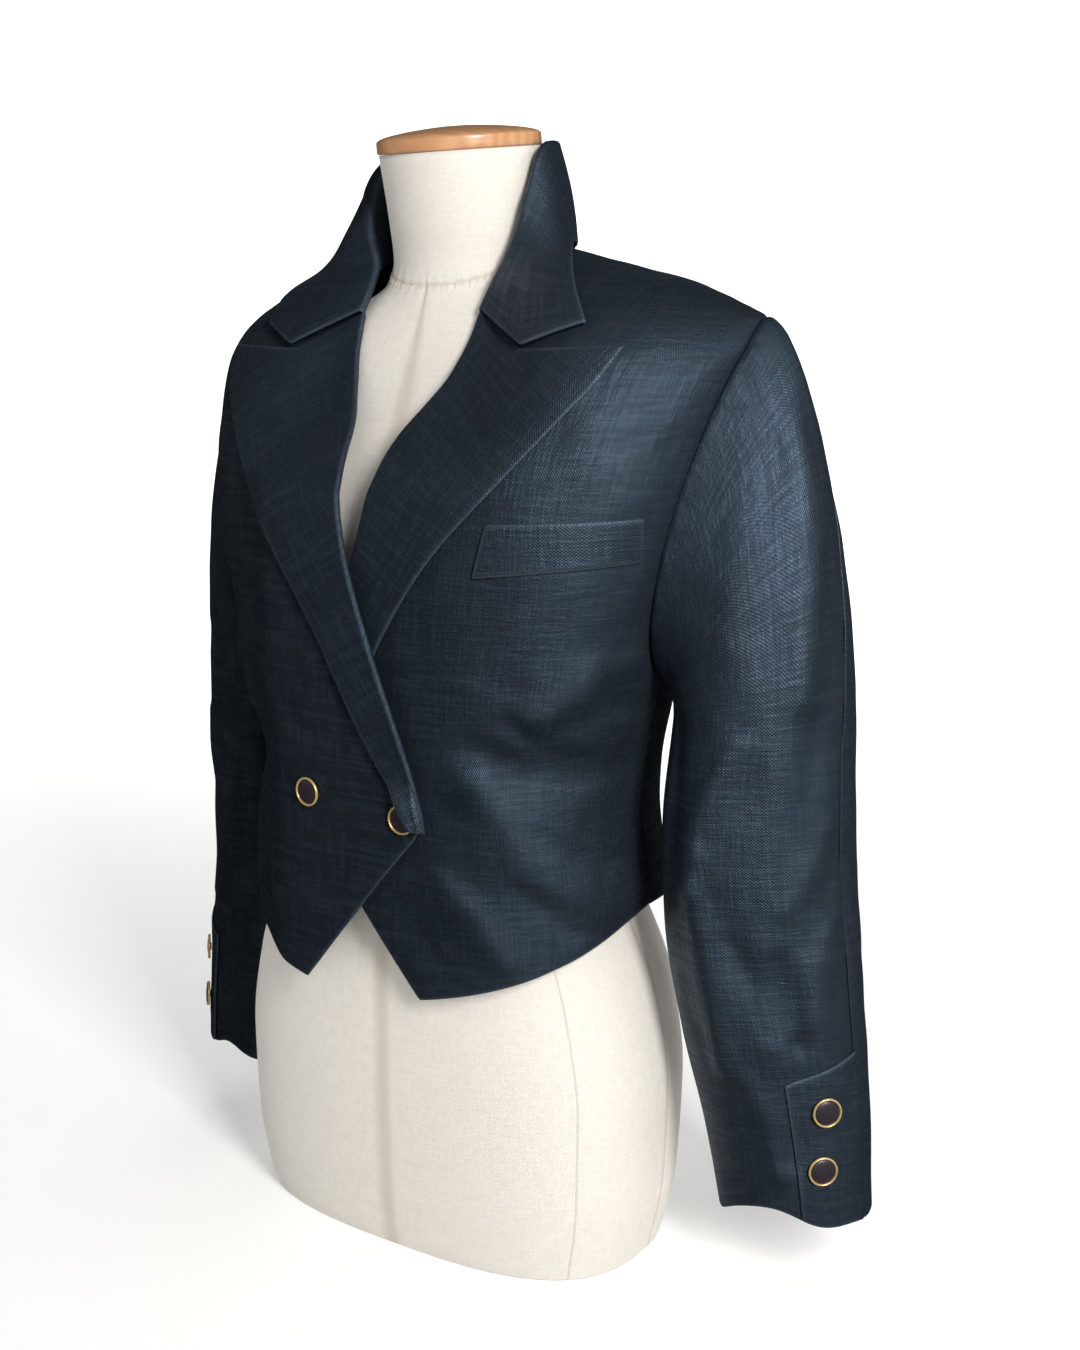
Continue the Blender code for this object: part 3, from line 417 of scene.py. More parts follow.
def lapelSheet(u, v, side):
    thick, share = lapelCut["thick"], lapelCut["rollColumns"]
    radius = thick + 0.0006 + 0.0003 * np.sin(math.pi * v)
    if side > 0:
        radius = thick + 0.0006 + 0.0004 * ease(0.5, 0.75, v)
    start = lapelPlace(np.zeros_like(v), v)
    across = unit(lapelPlace(np.full_like(v, 0.25), v) - start)
    turn = math.pi * np.clip(u / share, 0.0, 1.0)
    rolled = start + across * (radius - radius * np.sin(turn))[..., None]
    rolledLift = -thick + radius - radius * np.cos(turn)
    t = np.clip((u - share) / (1.0 - share), 0.0, 1.0)
    wide = np.linalg.norm(lapelPlace(np.ones_like(v), v) - start, axis=-1)
    begin = np.minimum(radius / wide, 0.7)
    flat = lapelPlace(begin + (1.0 - begin) * t, v)
    high, low = 2.0 * radius - thick, thick + lapelCut["lay"]
    flatLift = high + (low - high) * ease(0.1, 1.0, t)
    flatLift = flatLift + lapelCut["wave"] * t * ease(0.0, 0.3, v) * np.sin(7.0 * v + 2.0 * side + 2.0 * t) ** 2
    if side < 0:
        overX, overZ = buttonCut["front"]["front_button_edge"]
        away = np.hypot(-flat[..., 0] - overX, flat[..., 1] - overZ)
        flatLift = flatLift + lapelCut["rise"] * np.exp(-(away / lapelCut["riseWidth"]) ** 4)
    onRoll = u < share
    place = np.where(onRoll[..., None], rolled, flat)
    lift = np.where(onRoll, rolledLift, flatLift)
    slant = math.radians(32.0)
    out = place[..., 0] + np.where(onRoll, radius * (turn - math.pi), 0.0)
    cosine, sine, up = math.cos(slant), math.sin(slant), place[..., 1]
    grain = np.stack([out * cosine - up * sine, out * sine + up * cosine, np.full(u.shape, 0.4 * side)], -1)
    return onFront(place[..., 0] * side, place[..., 1], side, lift), grain


backCut = {
    "creases": (
        (0.120, 0.470, 0.060, 0.420, 0.016, 0.0050, 0.004),
        (-0.128, 0.455, -0.072, 0.400, 0.017, 0.0045, -0.004),
        (0.105, 0.385, -0.020, 0.345, 0.015, -0.0050, 0.004),
        (-0.040, 0.372, -0.125, 0.335, 0.014, -0.0045, -0.003),
        (0.070, 0.320, 0.090, 0.255, 0.016, 0.0040, 0.003),
        (0.158, 0.500, 0.122, 0.440, 0.0070, -0.0028, 0.003),
        (-0.160, 0.486, -0.120, 0.425, 0.0075, -0.0030, -0.003),
        (0.092, 0.690, 0.060, 0.640, 0.0120, 0.0012, 0.002),
        (-0.105, 0.672, -0.072, 0.610, 0.0130, 0.0013, -0.003),
        (-0.020, 0.332, -0.036, 0.258, 0.0110, 0.0020, 0.003),
        (-0.104, 0.306, -0.096, 0.254, 0.0090, 0.0022, 0.002),
        (0.018, 0.412, 0.108, 0.402, 0.0075, -0.0018, 0.004),
        (-0.096, 0.420, -0.030, 0.398, 0.0070, -0.0016, -0.003),
        (0.128, 0.322, 0.118, 0.262, 0.0070, -0.0018, 0.002),
    ),
    "rumple": 0.00034,
}


def backSheet(u, v):
    half = np.abs(2.0 * u - 1.0)
    levelA, turnA = sideEdge(v, -1)
    low = jacketBody["backHem"] + (jacketBody["neckBack"] - jacketBody["backHem"]) * v
    share = (math.pi - turnA) * half
    turn = math.pi - share
    dip = np.maximum(0.0, 1.0 - (share / neckTurn(jacketBody["backSquare"])) ** 2)
    wide = levelA + (low - levelA) * (1.0 - half ** 2 * (3.0 - 2.0 * half))
    top = levelA + (jacketBody["neckBack"] - levelA) * dip
    level = wide + (top - wide) * ease(0.72, 1.0, v)
    held = np.minimum(level, jacketBody["ridgeLevel"])
    p, n = blockPoint(held, turn), blockNormal(held, turn)
    p[..., 1] += jacketBody["ridgeGap"] * ease(0.728, jacketBody["ridgeLevel"], level)
    way = np.where(u > 0.5, -1.0, 1.0)
    p[..., 0] *= way
    n[..., 0] *= way
    lift = creaseLift(backCut["creases"], p[..., 0], p[..., 2])
    lift = lift + rumple(share * way * 0.17, p[..., 2], backCut["rumple"], 4.0)
    grain = np.stack([share * way * 0.17, p[..., 2], np.full(u.shape, 0.9)], -1)
    return p + n * (lift * ease(0.0, 0.10, 1.0 - half))[..., None], grain


collarCut = {
    "foldEnd": (0.0490, 0.6785, 0.0028),
    "notch": (0.0948, 0.6538, 0.0054),
    "point": (0.1345, 0.6703, 0.0058),
    "thick": 0.0022,
    "seatEnd": (0.0540, -0.0470, 0.6875),
    "seatStand": 0.0008,
    "fold": ((0.0505, -0.0440, 0.6985), (0.0535, -0.0330, 0.7153), (0.0585, -0.0280, 0.7318),
             (0.0622, -0.0235, 0.7515), (0.0640, -0.0155, 0.7700), (0.0640, -0.0060, 0.7880),
             (0.0625, 0.0070, 0.7960), (0.0540, 0.0310, 0.7990), (0.0330, 0.0570, 0.8015),
             (0.000, 0.068, 0.802)),
    "leaf": ((0.118, -0.044, 0.697), (0.096, -0.012, 0.719), (0.076, 0.024, 0.730), (0.051, 0.068, 0.729),
             (0.025, 0.090, 0.7215), (0.000, 0.096, 0.7185)),
    "foldRight": ((0.0505, -0.0440, 0.6985), (0.0538, -0.0330, 0.7153), (0.0620, -0.0285, 0.7318),
                  (0.0690, -0.0245, 0.7530), (0.0720, -0.0180, 0.7720), (0.0710, -0.0050, 0.7870),
                  (0.0670, 0.0110, 0.7950), (0.0560, 0.0330, 0.7990), (0.0330, 0.0570, 0.8015),
                  (0.000, 0.068, 0.802)),
    "leafRight": ((0.130, -0.050, 0.693), (0.126, -0.022, 0.708), (0.098, 0.022, 0.729), (0.062, 0.070, 0.728),
                  (0.029, 0.092, 0.721), (0.000, 0.096, 0.7185)),
    "foldRadius": 0.0034,
    "bulge": 0.0025,
    "softRadius": 0.0026,
    "softBulge": 0.0045,
    "softPlace": 0.80,
    "softSpread": 0.085,
    "standShare": 0.34,
    "arcShare": 0.50,
    "wave": 0.0005,
}


def frontSpot(place):
    return onFront(np.array(place[0]), np.array(place[1]), 1, np.array(place[2]))


foldEnd, notchEnd, pointEnd = [frontSpot(collarCut[name]) for name in ("foldEnd", "notch", "point")]


def bothSides(line, right):  # a line of the left side, carried on round the back to the right one
    return [tuple(p) for p in line] + [(-x, y, z) for x, y, z in reversed(right[:-1])]


def seatLine():  # the foot of the stand, inside the neck edge
    corner = neckTurn(jacketBody["backSquare"]) / armholeCut["tip"]
    edge = [frontSheet(np.array(0.0), np.array(v), 1)[0] for v in (0.94, 0.97, 1.0)]
    edge += [backSheet(np.array(0.5 - 0.5 * corner * h), np.array(1.0))[0] for h in (0.75, 0.5, 0.25, 0.0)]
    line = [collarCut["seatEnd"]]
    for p in edge:
        inward = unit(np.array([-p[0], 0.005 - p[1], 0.0]))
        p = p + inward * (collarCut["thick"] + 2.0 * jacketBody["seamGap"])
        line.append((p[0], p[1], p[2] + collarCut["seatStand"]))
    return line


seatPath = Path(bothSides(seatLine(), seatLine()))
foldPath = Path(bothSides([foldEnd] + list(collarCut["fold"]), [foldEnd] + list(collarCut["foldRight"])))
leafPath = Path(bothSides([pointEnd] + list(collarCut["leaf"]), [pointEnd] + list(collarCut["leafRight"])))


def collarSheet(u, v):  # u from the left end round the back to the right, v from the seat to the leaf's edge
    stand, arc = collarCut["standShare"], collarCut["arcShare"]
    soft = bell(u - collarCut["softPlace"], collarCut["softSpread"])
    radius = (collarCut["foldRadius"] + collarCut["softRadius"] * soft)[..., None]
    bulge = collarCut["bulge"] + collarCut["softBulge"] * soft
    seat, fold, leaf = seatPath(u), foldPath(u), leafPath(u)
    run = unit(foldPath(np.minimum(u + 0.01, 1.0)) - foldPath(np.maximum(u - 0.01, 0.0)))
    apex = fold - (seat + leaf) * 0.5
    apex = unit(apex - run * dot(apex, run)[..., None])
    out = np.cross(apex, run)
    out = out * np.where(dot(out, leaf - seat) < 0.0, -1.0, 1.0)[..., None]
    centre = fold - apex * radius
    onStand = mix(seat, centre - out * radius, np.clip(v / stand, 0.0, 1.0))
    turn = math.pi * np.clip((v - stand) / (arc - stand), 0.0, 1.0)
    onArc = centre - out * radius * np.cos(turn)[..., None] + apex * radius * np.sin(turn)[..., None]
    t = np.clip((v - arc) / (1.0 - arc), 0.0, 1.0)
    ripple = collarCut["wave"] * np.sin(23.0 * u + 1.1) * np.sin(9.0 * u + 2.0) * t
    onLeaf = mix(centre + out * radius, leaf, t) + out * (bulge * np.sin(math.pi * t) + ripple)[..., None]
    third = 0.4
    end = np.where((t > third)[..., None], mix(notchEnd, pointEnd, (t - third) / (1.0 - third)),
                   mix(foldEnd, notchEnd, t / third))
    bend = end - mix(foldEnd, pointEnd, t)
    bend[..., 0] *= np.where(u > 0.5, -1.0, 1.0)
    fromEnd = 1.0 - np.abs(2.0 * u - 1.0)
    onLeaf = onLeaf + bend * (1.0 - ease(0.0, 0.17, fromEnd))[..., None]
    p = np.where((v < stand)[..., None], onStand, np.where((v < arc)[..., None], onArc, onLeaf))
    return p, np.stack([u * 0.44, v * 0.105, np.full(u.shape, 1.7)], -1)


# the sleeves, by a turn from the outside to the front, the body and the back

sleeveCut = {
    "columns": ("level", "centreX", "centreY", "long", "short", "turn"),
    "rows": (
        (0.410, 0.233, 0.020, 0.066, 0.050, 56.0),
        (0.340, 0.234, 0.014, 0.069, 0.047, 46.0),
        (0.270, 0.239, 0.011, 0.069, 0.044, 40.0),
        (0.190, 0.251, 0.010, 0.065, 0.040, 35.0),
        (0.120, 0.263, 0.012, 0.059, 0.036, 33.0),
        (0.056, 0.271, 0.013, 0.054, 0.034, 32.0),
    ),
    "cuffLevel": 0.056,
    "cuffRise": 0.014,
    "cuffRiseTurn": math.radians(88.0),
    "cuffWave": 0.0016,
    "headLevel": 0.410,
    "headShare": 0.40,
    "headOut": (0.045, 0.055, 0.085),
    "headDown": (0.015, 0.06, 0.26),
    "rightShift": -0.012,
    "rightSwing": -0.010,
    "stand": 0.0003,
    "tuck": 0.0006,
    "frontSeam": math.radians(172.0),
    "elbowTop": math.radians(-34.0),
    "elbow": math.radians(4.0),
    "thick": 0.0016,
    "rumple": 0.00032,
    "pucker": 0.00055,
    "round": 0.055,
    "creases": {
        1: (
            (26.0, 0.612, 33.0, 0.430, 0.0140, 0.0052, 0.003),
            (72.0, 0.402, 92.0, 0.338, 0.0130, -0.0058, 0.003),
            (74.0, 0.400, 104.0, 0.300, 0.0115, 0.0074, -0.004),
            (104.0, 0.300, 98.0, 0.175, 0.0110, 0.0064, 0.004),
            (52.0, 0.250, 46.0, 0.192, 0.0095, -0.0046, -0.002),
            (47.0, 0.190, 61.0, 0.108, 0.0085, -0.0030, 0.003),
            (250.0, 0.400, 300.0, 0.330, 0.0180, -0.0060, 0.004),
            (300.0, 0.300, 255.0, 0.225, 0.0160, 0.0055, -0.004),
            (127.0, 0.410, 126.0, 0.290, 0.0085, -0.0046, 0.002),
            (128.0, 0.598, 119.0, 0.606, 0.0045, -0.0016, 0.001),
            (126.0, 0.556, 116.0, 0.563, 0.0045, -0.0016, 0.001),
            (60.0, 0.590, 82.0, 0.470, 0.0120, 0.0018, 0.004),
            (8.0, 0.520, 30.0, 0.360, 0.0110, -0.0022, -0.003),
            (18.0, 0.340, 46.0, 0.286, 0.0090, 0.0024, 0.003),
            (20.0, 0.268, 34.0, 0.206, 0.0085, 0.0022, -0.002),
            (78.0, 0.262, 64.0, 0.200, 0.0080, -0.0022, 0.002),
            (84.0, 0.165, 72.0, 0.096, 0.0090, 0.0020, 0.002),
            (322.0, 0.560, 318.0, 0.430, 0.0130, 0.0024, 0.003),
            (268.0, 0.330, 310.0, 0.280, 0.0090, -0.0026, -0.003),
            (326.0, 0.240, 300.0, 0.160, 0.0100, -0.0024, 0.003),
        ),
        -1: (
            (16.0, 0.600, 26.0, 0.440, 0.0160, 0.0050, -0.003),
            (70.0, 0.380, 102.0, 0.320, 0.0150, -0.0055, 0.003),
            (88.0, 0.330, 66.0, 0.210, 0.0140, 0.0055, -0.004),
            (262.0, 0.410, 305.0, 0.345, 0.0170, -0.0055, 0.004),
            (290.0, 0.290, 258.0, 0.200, 0.0160, 0.0050, -0.004),
            (40.0, 0.360, 76.0, 0.300, 0.0090, 0.0028, 0.003),
            (52.0, 0.262, 36.0, 0.196, 0.0085, -0.0028, -0.002),
            (64.0, 0.190, 80.0, 0.116, 0.0090, -0.0022, 0.002),
            (66.0, 0.580, 88.0, 0.462, 0.0120, 0.0018, -0.004),
            (2.0, 0.500, 20.0, 0.350, 0.0110, -0.0022, 0.003),
            (316.0, 0.545, 322.0, 0.420, 0.0130, 0.0024, -0.003),
            (276.0, 0.322, 312.0, 0.268, 0.0090, -0.0024, 0.003),
            (330.0, 0.232, 306.0, 0.150, 0.0100, -0.0022, -0.003),
        ),
    },
}
sleeve = tableCurves(sleeveCut["columns"], sleeveCut["rows"])
sleeveSeam = 0.7 * jacketBody["seamGap"] / 0.045


def ringPoint(level, turn, side):
    spin = np.radians(sleeve["turn"](level))
    at = -turn - spin
    a = sleeve["long"](level) * np.cos(at)
    b = sleeve["short"](level) * np.sin(at)
    shift = 0.0
    if side < 0:  # the right one hangs closer
        b = b * 0.92
        shift = sleeveCut["rightShift"] + sleeveCut["rightSwing"] * ease(0.42, 0.12, level)
    x = sleeve["centreX"](level) + shift + a * np.cos(spin) - b * np.sin(spin)
    y = sleeve["centreY"](level) + a * np.sin(spin) + b * np.cos(spin)
    return np.stack([x, y, level + 0.0 * x], -1)


def sleeveBase(turn, v, side):
    head = sleeveCut["headShare"]
    t = np.clip((v - head) / (1.0 - head), 0.0, 1.0)
    low = ringPoint(sleeveCut["headLevel"] + (sleeveCut["cuffLevel"] - sleeveCut["headLevel"]) * t, turn, side)
    rise = sleeveCut["cuffRise"] * bell(turn - sleeveCut["cuffRiseTurn"], 0.6)
    low[..., 2] += rise * ease(0.8, 1.0, t)
    low[..., 2] += sleeveCut["cuffWave"] * np.sin(5.0 * turn + side) * np.sin(2.0 * turn) * ease(0.9, 1.0, t)
    t = np.clip(v / head, 0.0, 1.0)[..., None]
    level, around = armhole(turn)
    start = blockPoint(level, around) + blockNormal(level, around) * sleeveCut["stand"]
    end = ringPoint(np.full_like(turn, sleeveCut["headLevel"]), turn, side)
    high = 0.5 + 0.5 * np.cos(turn)
    zero = np.zeros_like(high)
    lowOut, highOut, fall = sleeveCut["headOut"]
    lean, lowDown, highDown = sleeveCut["headDown"]
    out = np.stack([lowOut + highOut * high ** 2, zero, fall * high - fall], -1)
    down = np.stack([lean * high, zero, -lowDown - highDown * high], -1)
    p = start * (2 * t ** 3 - 3 * t ** 2 + 1) + out * (t ** 3 - 2 * t ** 2 + t)
    p = p + end * (3 * t ** 2 - 2 * t ** 3) + down * (t ** 3 - t ** 2)
    p = p - unit(out) * sleeveCut["tuck"] * (1.0 - t)  # the seam closes on the body
    return np.where((v >= head)[..., None], low, p)


def sleeveLift(side, turn, level):
    lift = np.zeros(turn.shape)
    for fromTurn, fromLevel, toTurn, toLevel, width, depth, bow in sleeveCut["creases"][side]:
        x = sleeveCut["round"] * ((turn - math.radians(fromTurn) + math.pi) % (2.0 * math.pi) - math.pi)
        toX = sleeveCut["round"] * math.radians(toTurn - fromTurn)
        lift = lift + creaseLift(((0.0, fromLevel, toX, toLevel, width, depth, bow),), x, level)
    return lift


def sleevePoint(turn, v, side, lift=0.0):
    turn, v = np.broadcast_arrays(np.asarray(turn, float), np.asarray(v, float))
    p = sleeveBase(turn, v, side)
    h = 0.004
    down = sleeveBase(turn, np.minimum(v + h, 1.0), side) - sleeveBase(turn, np.maximum(v - h, 0.0), side)
    around = sleeveBase(turn + h * 4.0, v, side) - sleeveBase(turn - h * 4.0, v, side)
    n = unit(np.cross(around, down))
    middle = np.stack([sleeve["centreX"](p[..., 2]), sleeve["centreY"](p[..., 2]), p[..., 2]], -1)
    turned = (v > sleeveCut["headShare"]) & (dot(n, p - middle) < 0.0)
    n = n * np.where(turned, -1.0, 1.0)[..., None]
    head = ease(0.06, 0.2, v)
    keep = head * (0.8 * ease(0.0, 0.05, 1.0 - v) + 0.2)
    inner = 1.0 - 0.85 * ease(-0.35, -0.85, np.cos(turn))
    fold = sleeveLift(side, turn, p[..., 2]) + rumple(turn * 0.055, p[..., 2], sleeveCut["rumple"], 7.0 + side)
    uneven = 0.6 + np.sin(turn * 34.0 + 2.0 * np.sin(5.0 * turn))
    gather = sleeveCut["pucker"] * bell(v - 0.022, 0.016) * uneven
    p = p + n * (fold * keep * inner + gather * ease(0.0, 0.012, v) + lift)[..., None]
    return p * np.array([side, 1.0, 1.0])


def elbowTurn(v):
    return sleeveCut["elbowTop"] + (sleeveCut["elbow"] - sleeveCut["elbowTop"]) * ease(0.0, 0.5, v)


def sleeveSheet(u, v, side, upper):
    a = elbowTurn(v) + sleeveSeam
    b = sleeveCut["frontSeam"] - sleeveSeam + 0.0 * v
    if not upper:
        a, b = b + 2.0 * sleeveSeam, a + 2.0 * math.pi - 2.0 * sleeveSeam
    turn = a + (b - a) * u
    p = sleevePoint(turn, v, side)
    run = np.where(v < 0.4, 0.62 - v * 0.55, 0.40 - (v - 0.4) * 0.59)
    return p, np.stack([turn * 0.055 * side, run, np.full(u.shape, 2.3 + 0.5 * side + 0.2 * upper)], -1)


def levelShare(level):
    run = (sleeveCut["headLevel"] - level) / (sleeveCut["headLevel"] - sleeveCut["cuffLevel"])
    return sleeveCut["headShare"] + (1.0 - sleeveCut["headShare"]) * run


tabCut = {"width": math.radians(54.0), "top": 0.181, "slant": 0.018, "thick": 0.0012, "gap": 0.0011}
weltCut = {"corners": ((0.100, 0.546), (0.180, 0.549), (0.177, 0.520), (0.092, 0.511)), "thick": 0.0012}
trimLift = tabCut["gap"] + tabCut["thick"]


def tabSheet(u, v, side):
    turn = elbowTurn(np.ones_like(u)) + sleeveSeam + tabCut["width"] * u
    top = tabCut["top"] - tabCut["slant"] * u
    low = sleeveCut["cuffLevel"] + 0.001
    level = low + (top - low) * v
    p = sleevePoint(turn, levelShare(level), side, trimLift)
    return p, np.stack([turn * 0.055 * side, level, np.full(u.shape, 3.1 + side)], -1)


def weltSheet(u, v):
    a, b, c, d = [np.array(p) for p in weltCut["corners"]]
    place = mix(mix(d, c, u), mix(a, b, u), v)
    p = onFront(place[..., 0], place[..., 1], 1, np.full(u.shape, trimLift), True)
    return p, np.stack([place[..., 0], place[..., 1], np.full(u.shape, 3.7)], -1)


# cloth pieces: a grid with its weave's directions and its edges, thickened inward

def fromAxis(p):
    return np.stack([p[..., 0], p[..., 1] - 0.01, 0.0 * p[..., 0]], -1)


def fromSleeve(p):
    return np.stack([p[..., 0] - np.copysign(0.235, p[..., 0]), p[..., 1] - 0.012, 0.0 * p[..., 0]], -1)


def outFront(p):
    return np.stack([0.0 * p[..., 0], -1.0 + 0.0 * p[..., 0], 0.15 + 0.0 * p[..., 0]], -1)


def outCollar(p):
    return unit(fromAxis(p)) + np.array([0.0, 0.0, 0.5])


def gridNormals(p):
    return unit(np.cross(np.gradient(p, axis=1), np.gradient(p, axis=0)))


def fromEdges(p):  # distance from each of the four edges, along the threads
    across = np.linalg.norm(np.diff(p, axis=1), axis=-1)
    along = np.linalg.norm(np.diff(p, axis=0), axis=-1)
    u0 = np.concatenate([np.zeros((p.shape[0], 1)), np.cumsum(across, 1)], 1)
    v0 = np.concatenate([np.zeros((1, p.shape[1])), np.cumsum(along, 0)], 0)
    return {"u0": u0, "u1": u0[:, -1:] - u0, "v0": v0, "v1": v0[-1:] - v0}


def newMesh(name, points, faces, finish):
    mesh = bpy.data.meshes.new(name)
    mesh.from_pydata([tuple(p) for p in points], [], faces)
    mesh.polygons.foreach_set("use_smooth", [True] * len(mesh.polygons))
    piece = bpy.data.objects.new(name, mesh)
    scene.collection.objects.link(piece)
    mesh.materials.append(finish)
    return piece


def addFloats(mesh, name, values):
    layer = mesh.attributes.new(name, "FLOAT", "POINT")
    layer.data.foreach_set("value", np.asarray(values, np.float32).ravel())


def addVectors(mesh, name, values):
    layer = mesh.attributes.new(name, "FLOAT_VECTOR", "POINT")
    layer.data.foreach_set("vector", np.asarray(values, np.float32).ravel())


clothEdge = {
    "rollWidth": 0.0012,
    "edgeHighlightWidth": 0.0018,
    "seamWidth": 0.0012,
    "seamReach": 0.006,
    "seamShadeWidth": 0.0013,
}


def clothPiece(name, node, sheet, us, vs, outward, thick, finish, free, seams=(), rolled=0.0007, sewn=0.0006):
    u, v = np.meshgrid(us, vs)
    points, grain = sheet(u, v)
    normals = gridNormals(points)
    flip = (dot(normals, outward(points))).sum() < 0.0
    if flip:
        normals = -normals
    away = fromEdges(points)
    edge = np.zeros(u.shape)
    for side in free:  # a turned edge rolls in, and its crest gets a painted highlight in the colour
        points = points - normals * (rolled * bell(away[side], clothEdge["rollWidth"]))[..., None]
        edge = np.maximum(edge, bell(away[side], clothEdge["edgeHighlightWidth"]))
    ditch = np.zeros(u.shape)
    for side in seams:  # a seam draws the cloth down along it, and its line gets painted shade in the colour
        pull = 0.6 * bell(away[side], clothEdge["seamWidth"]) + 0.3 * bell(away[side], clothEdge["seamReach"])
        points = points - normals * (sewn * pull)[..., None]
        ditch = np.maximum(ditch, bell(away[side], clothEdge["seamShadeWidth"]))
    rows, columns = u.shape
    index = np.arange(rows * columns).reshape(rows, columns)
    faces = np.stack([index[:-1, :-1], index[:-1, 1:], index[1:, 1:], index[1:, :-1]], -1).reshape(-1, 4)
    corners = points.reshape(-1, 3)[faces]
    facing = np.cross(corners[:, 2] - corners[:, 0], corners[:, 3] - corners[:, 1])
    if dot(facing, normals.reshape(-1, 3)[faces[:, 0]]).sum() < 0.0:
        faces = faces[:, ::-1]
    piece = newMesh(name, points.reshape(-1, 3), faces.tolist(), finish)
    addVectors(piece.data, "grain", grain.reshape(-1, 3))
    addFloats(piece.data, "edge", edge)
    addFloats(piece.data, "ditch", ditch)
    wall = piece.modifiers.new("wall", "SOLIDIFY")
    wall.thickness = thick
    wall.offset = -1.0
    wall.use_even_offset = False
    wall.use_quality_normals = True
    size = 0.5 * np.linalg.norm(facing, axis=1).sum()
    width = float((away["u0"][:, -1]).max())
    length = float((away["v0"][-1]).max())
    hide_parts(node)
    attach(piece, "root")
    return piece, (width, length), float(size)


def declareCloth(made):
    piece, (width, length), size = made
    width, length = round(width, 3), round(length, 3)


# shader maths

class Wire:  # a socket that takes part in sums
    def __init__(self, finish, socket):
        self.finish = finish
        self.socket = socket

    def combine(self, operation, other, turned=False):
        first, second = (other, self) if turned else (self, other)
        return self.finish.node("ShaderNodeMath", {"operation": operation}, {0: first, 1: second})

    def __add__(self, other):
        return self.combine("ADD", other)

    def __radd__(self, other):
        return self.combine("ADD", other, True)

    def __sub__(self, other):
        return self.combine("SUBTRACT", other)

    def __rsub__(self, other):
        return self.combine("SUBTRACT", other, True)

    def __mul__(self, other):
        return self.combine("MULTIPLY", other)

    def __rmul__(self, other):
        return self.combine("MULTIPLY", other, True)


class Finish:  # one material, its nodes made as they are named
    def __init__(self, name):
        self.material = bpy.data.materials.new(name)
        self.material.use_nodes = True
        self.tree = self.material.node_tree
        self.shader = self.tree.nodes["Principled BSDF"]

    def put(self, socket, value):
        if isinstance(value, Wire):
            self.tree.links.new(value.socket, socket)
        elif hasattr(value, "__len__") and len(value) == 3 and socket.type == "RGBA":
            socket.default_value = tuple(value) + (1.0,)
        else:
            socket.default_value = value

    def node(self, kind, settings=None, sockets=None, out=0):
        made = self.tree.nodes.new(kind)
        for name, value in (settings or {}).items():
            setattr(made, name, value)
        for name, value in (sockets or {}).items():
            self.put(made.inputs[name], value)
        return Wire(self, made.outputs[out])

    def attribute(self, name, out):
        return self.node("ShaderNodeAttribute", {"attribute_name": name}, out=out)

    def noise(self, vector, scale, detail=2.0, rough=0.5):
        return self.node("ShaderNodeTexNoise", {}, {"Vector": vector, "Scale": scale, "Detail": detail,
                                                    "Roughness": rough})

    def stretch(self, vector, x, y, z=1.0):
        return self.node("ShaderNodeVectorMath", {"operation": "MULTIPLY"}, {0: vector, 1: (x, y, z)})

    def range(self, value, low, high):
        return self.node("ShaderNodeMapRange", {"interpolation_type": "SMOOTHSTEP"},
                         {"Value": value, "From Min": low, "From Max": high})

    def blend(self, share, a, b):  # 6, 7 and 2 are the colour sockets of a mix
        return self.node("ShaderNodeMix", {"data_type": "RGBA"}, {0: share, 6: a, 7: b}, 2)

    def bump(self, height, distance, strength):
        return self.node("ShaderNodeBump", {}, {"Height": height, "Distance": distance, "Strength": strength})

    def shade(self, **sockets):
        for name, value in sockets.items():
            self.put(self.shader.inputs[name.replace("_", " ")], value)
        return self.material


def threads(finish, grain, pitch, slub):
    across = finish.stretch(grain, 1.0 / pitch * 0.55, slub, 3.0)
    along = finish.stretch(grain, slub, 1.0 / pitch * 0.55, 3.0)
    warp = finish.noise(across, 1.0, 3.0, 0.6)
    weft = finish.noise(along, 1.0, 3.0, 0.6)
    return warp, weft


def plainWeave(finish, grain, pitch, wander):
    bent = finish.node("ShaderNodeVectorMath", {"operation": "ADD"},
                       {0: grain, 1: finish.stretch(finish.node("ShaderNodeTexNoise", {}, {
                           "Vector": grain, "Scale": 60.0, "Detail": 1.0}, 1), wander, wander, 0.0)})
    parts = finish.tree.nodes.new("ShaderNodeSeparateXYZ")
    finish.put(parts.inputs[0], bent)
    a = Wire(finish, parts.outputs[0]) * (math.pi / pitch)
    b = Wire(finish, parts.outputs[1]) * (math.pi / pitch)
    sinA = finish.node("ShaderNodeMath", {"operation": "SINE"}, {0: a})
    sinB = finish.node("ShaderNodeMath", {"operation": "SINE"}, {0: b})
    return sinA * sinB * 0.5 + 0.5


jacketLook = {
    "dark": (0.0016, 0.0022, 0.0031),
    "mid": (0.0046, 0.0066, 0.0092),
    "light": (0.0160, 0.0215, 0.0285),
    "teal": (0.0045, 0.0095, 0.0115),
    "plum": (0.0100, 0.0075, 0.0100),
    # painted highlight colour for the crests of the cloth's edges
    "edgeHighlight": (0.030, 0.039, 0.050),
    "pitch": 0.0010,
    "sheen": 0.02,
    "sheenTint": (0.42, 0.55, 0.74),
    "gleam": (0.50, 0.72, 1.0),
}


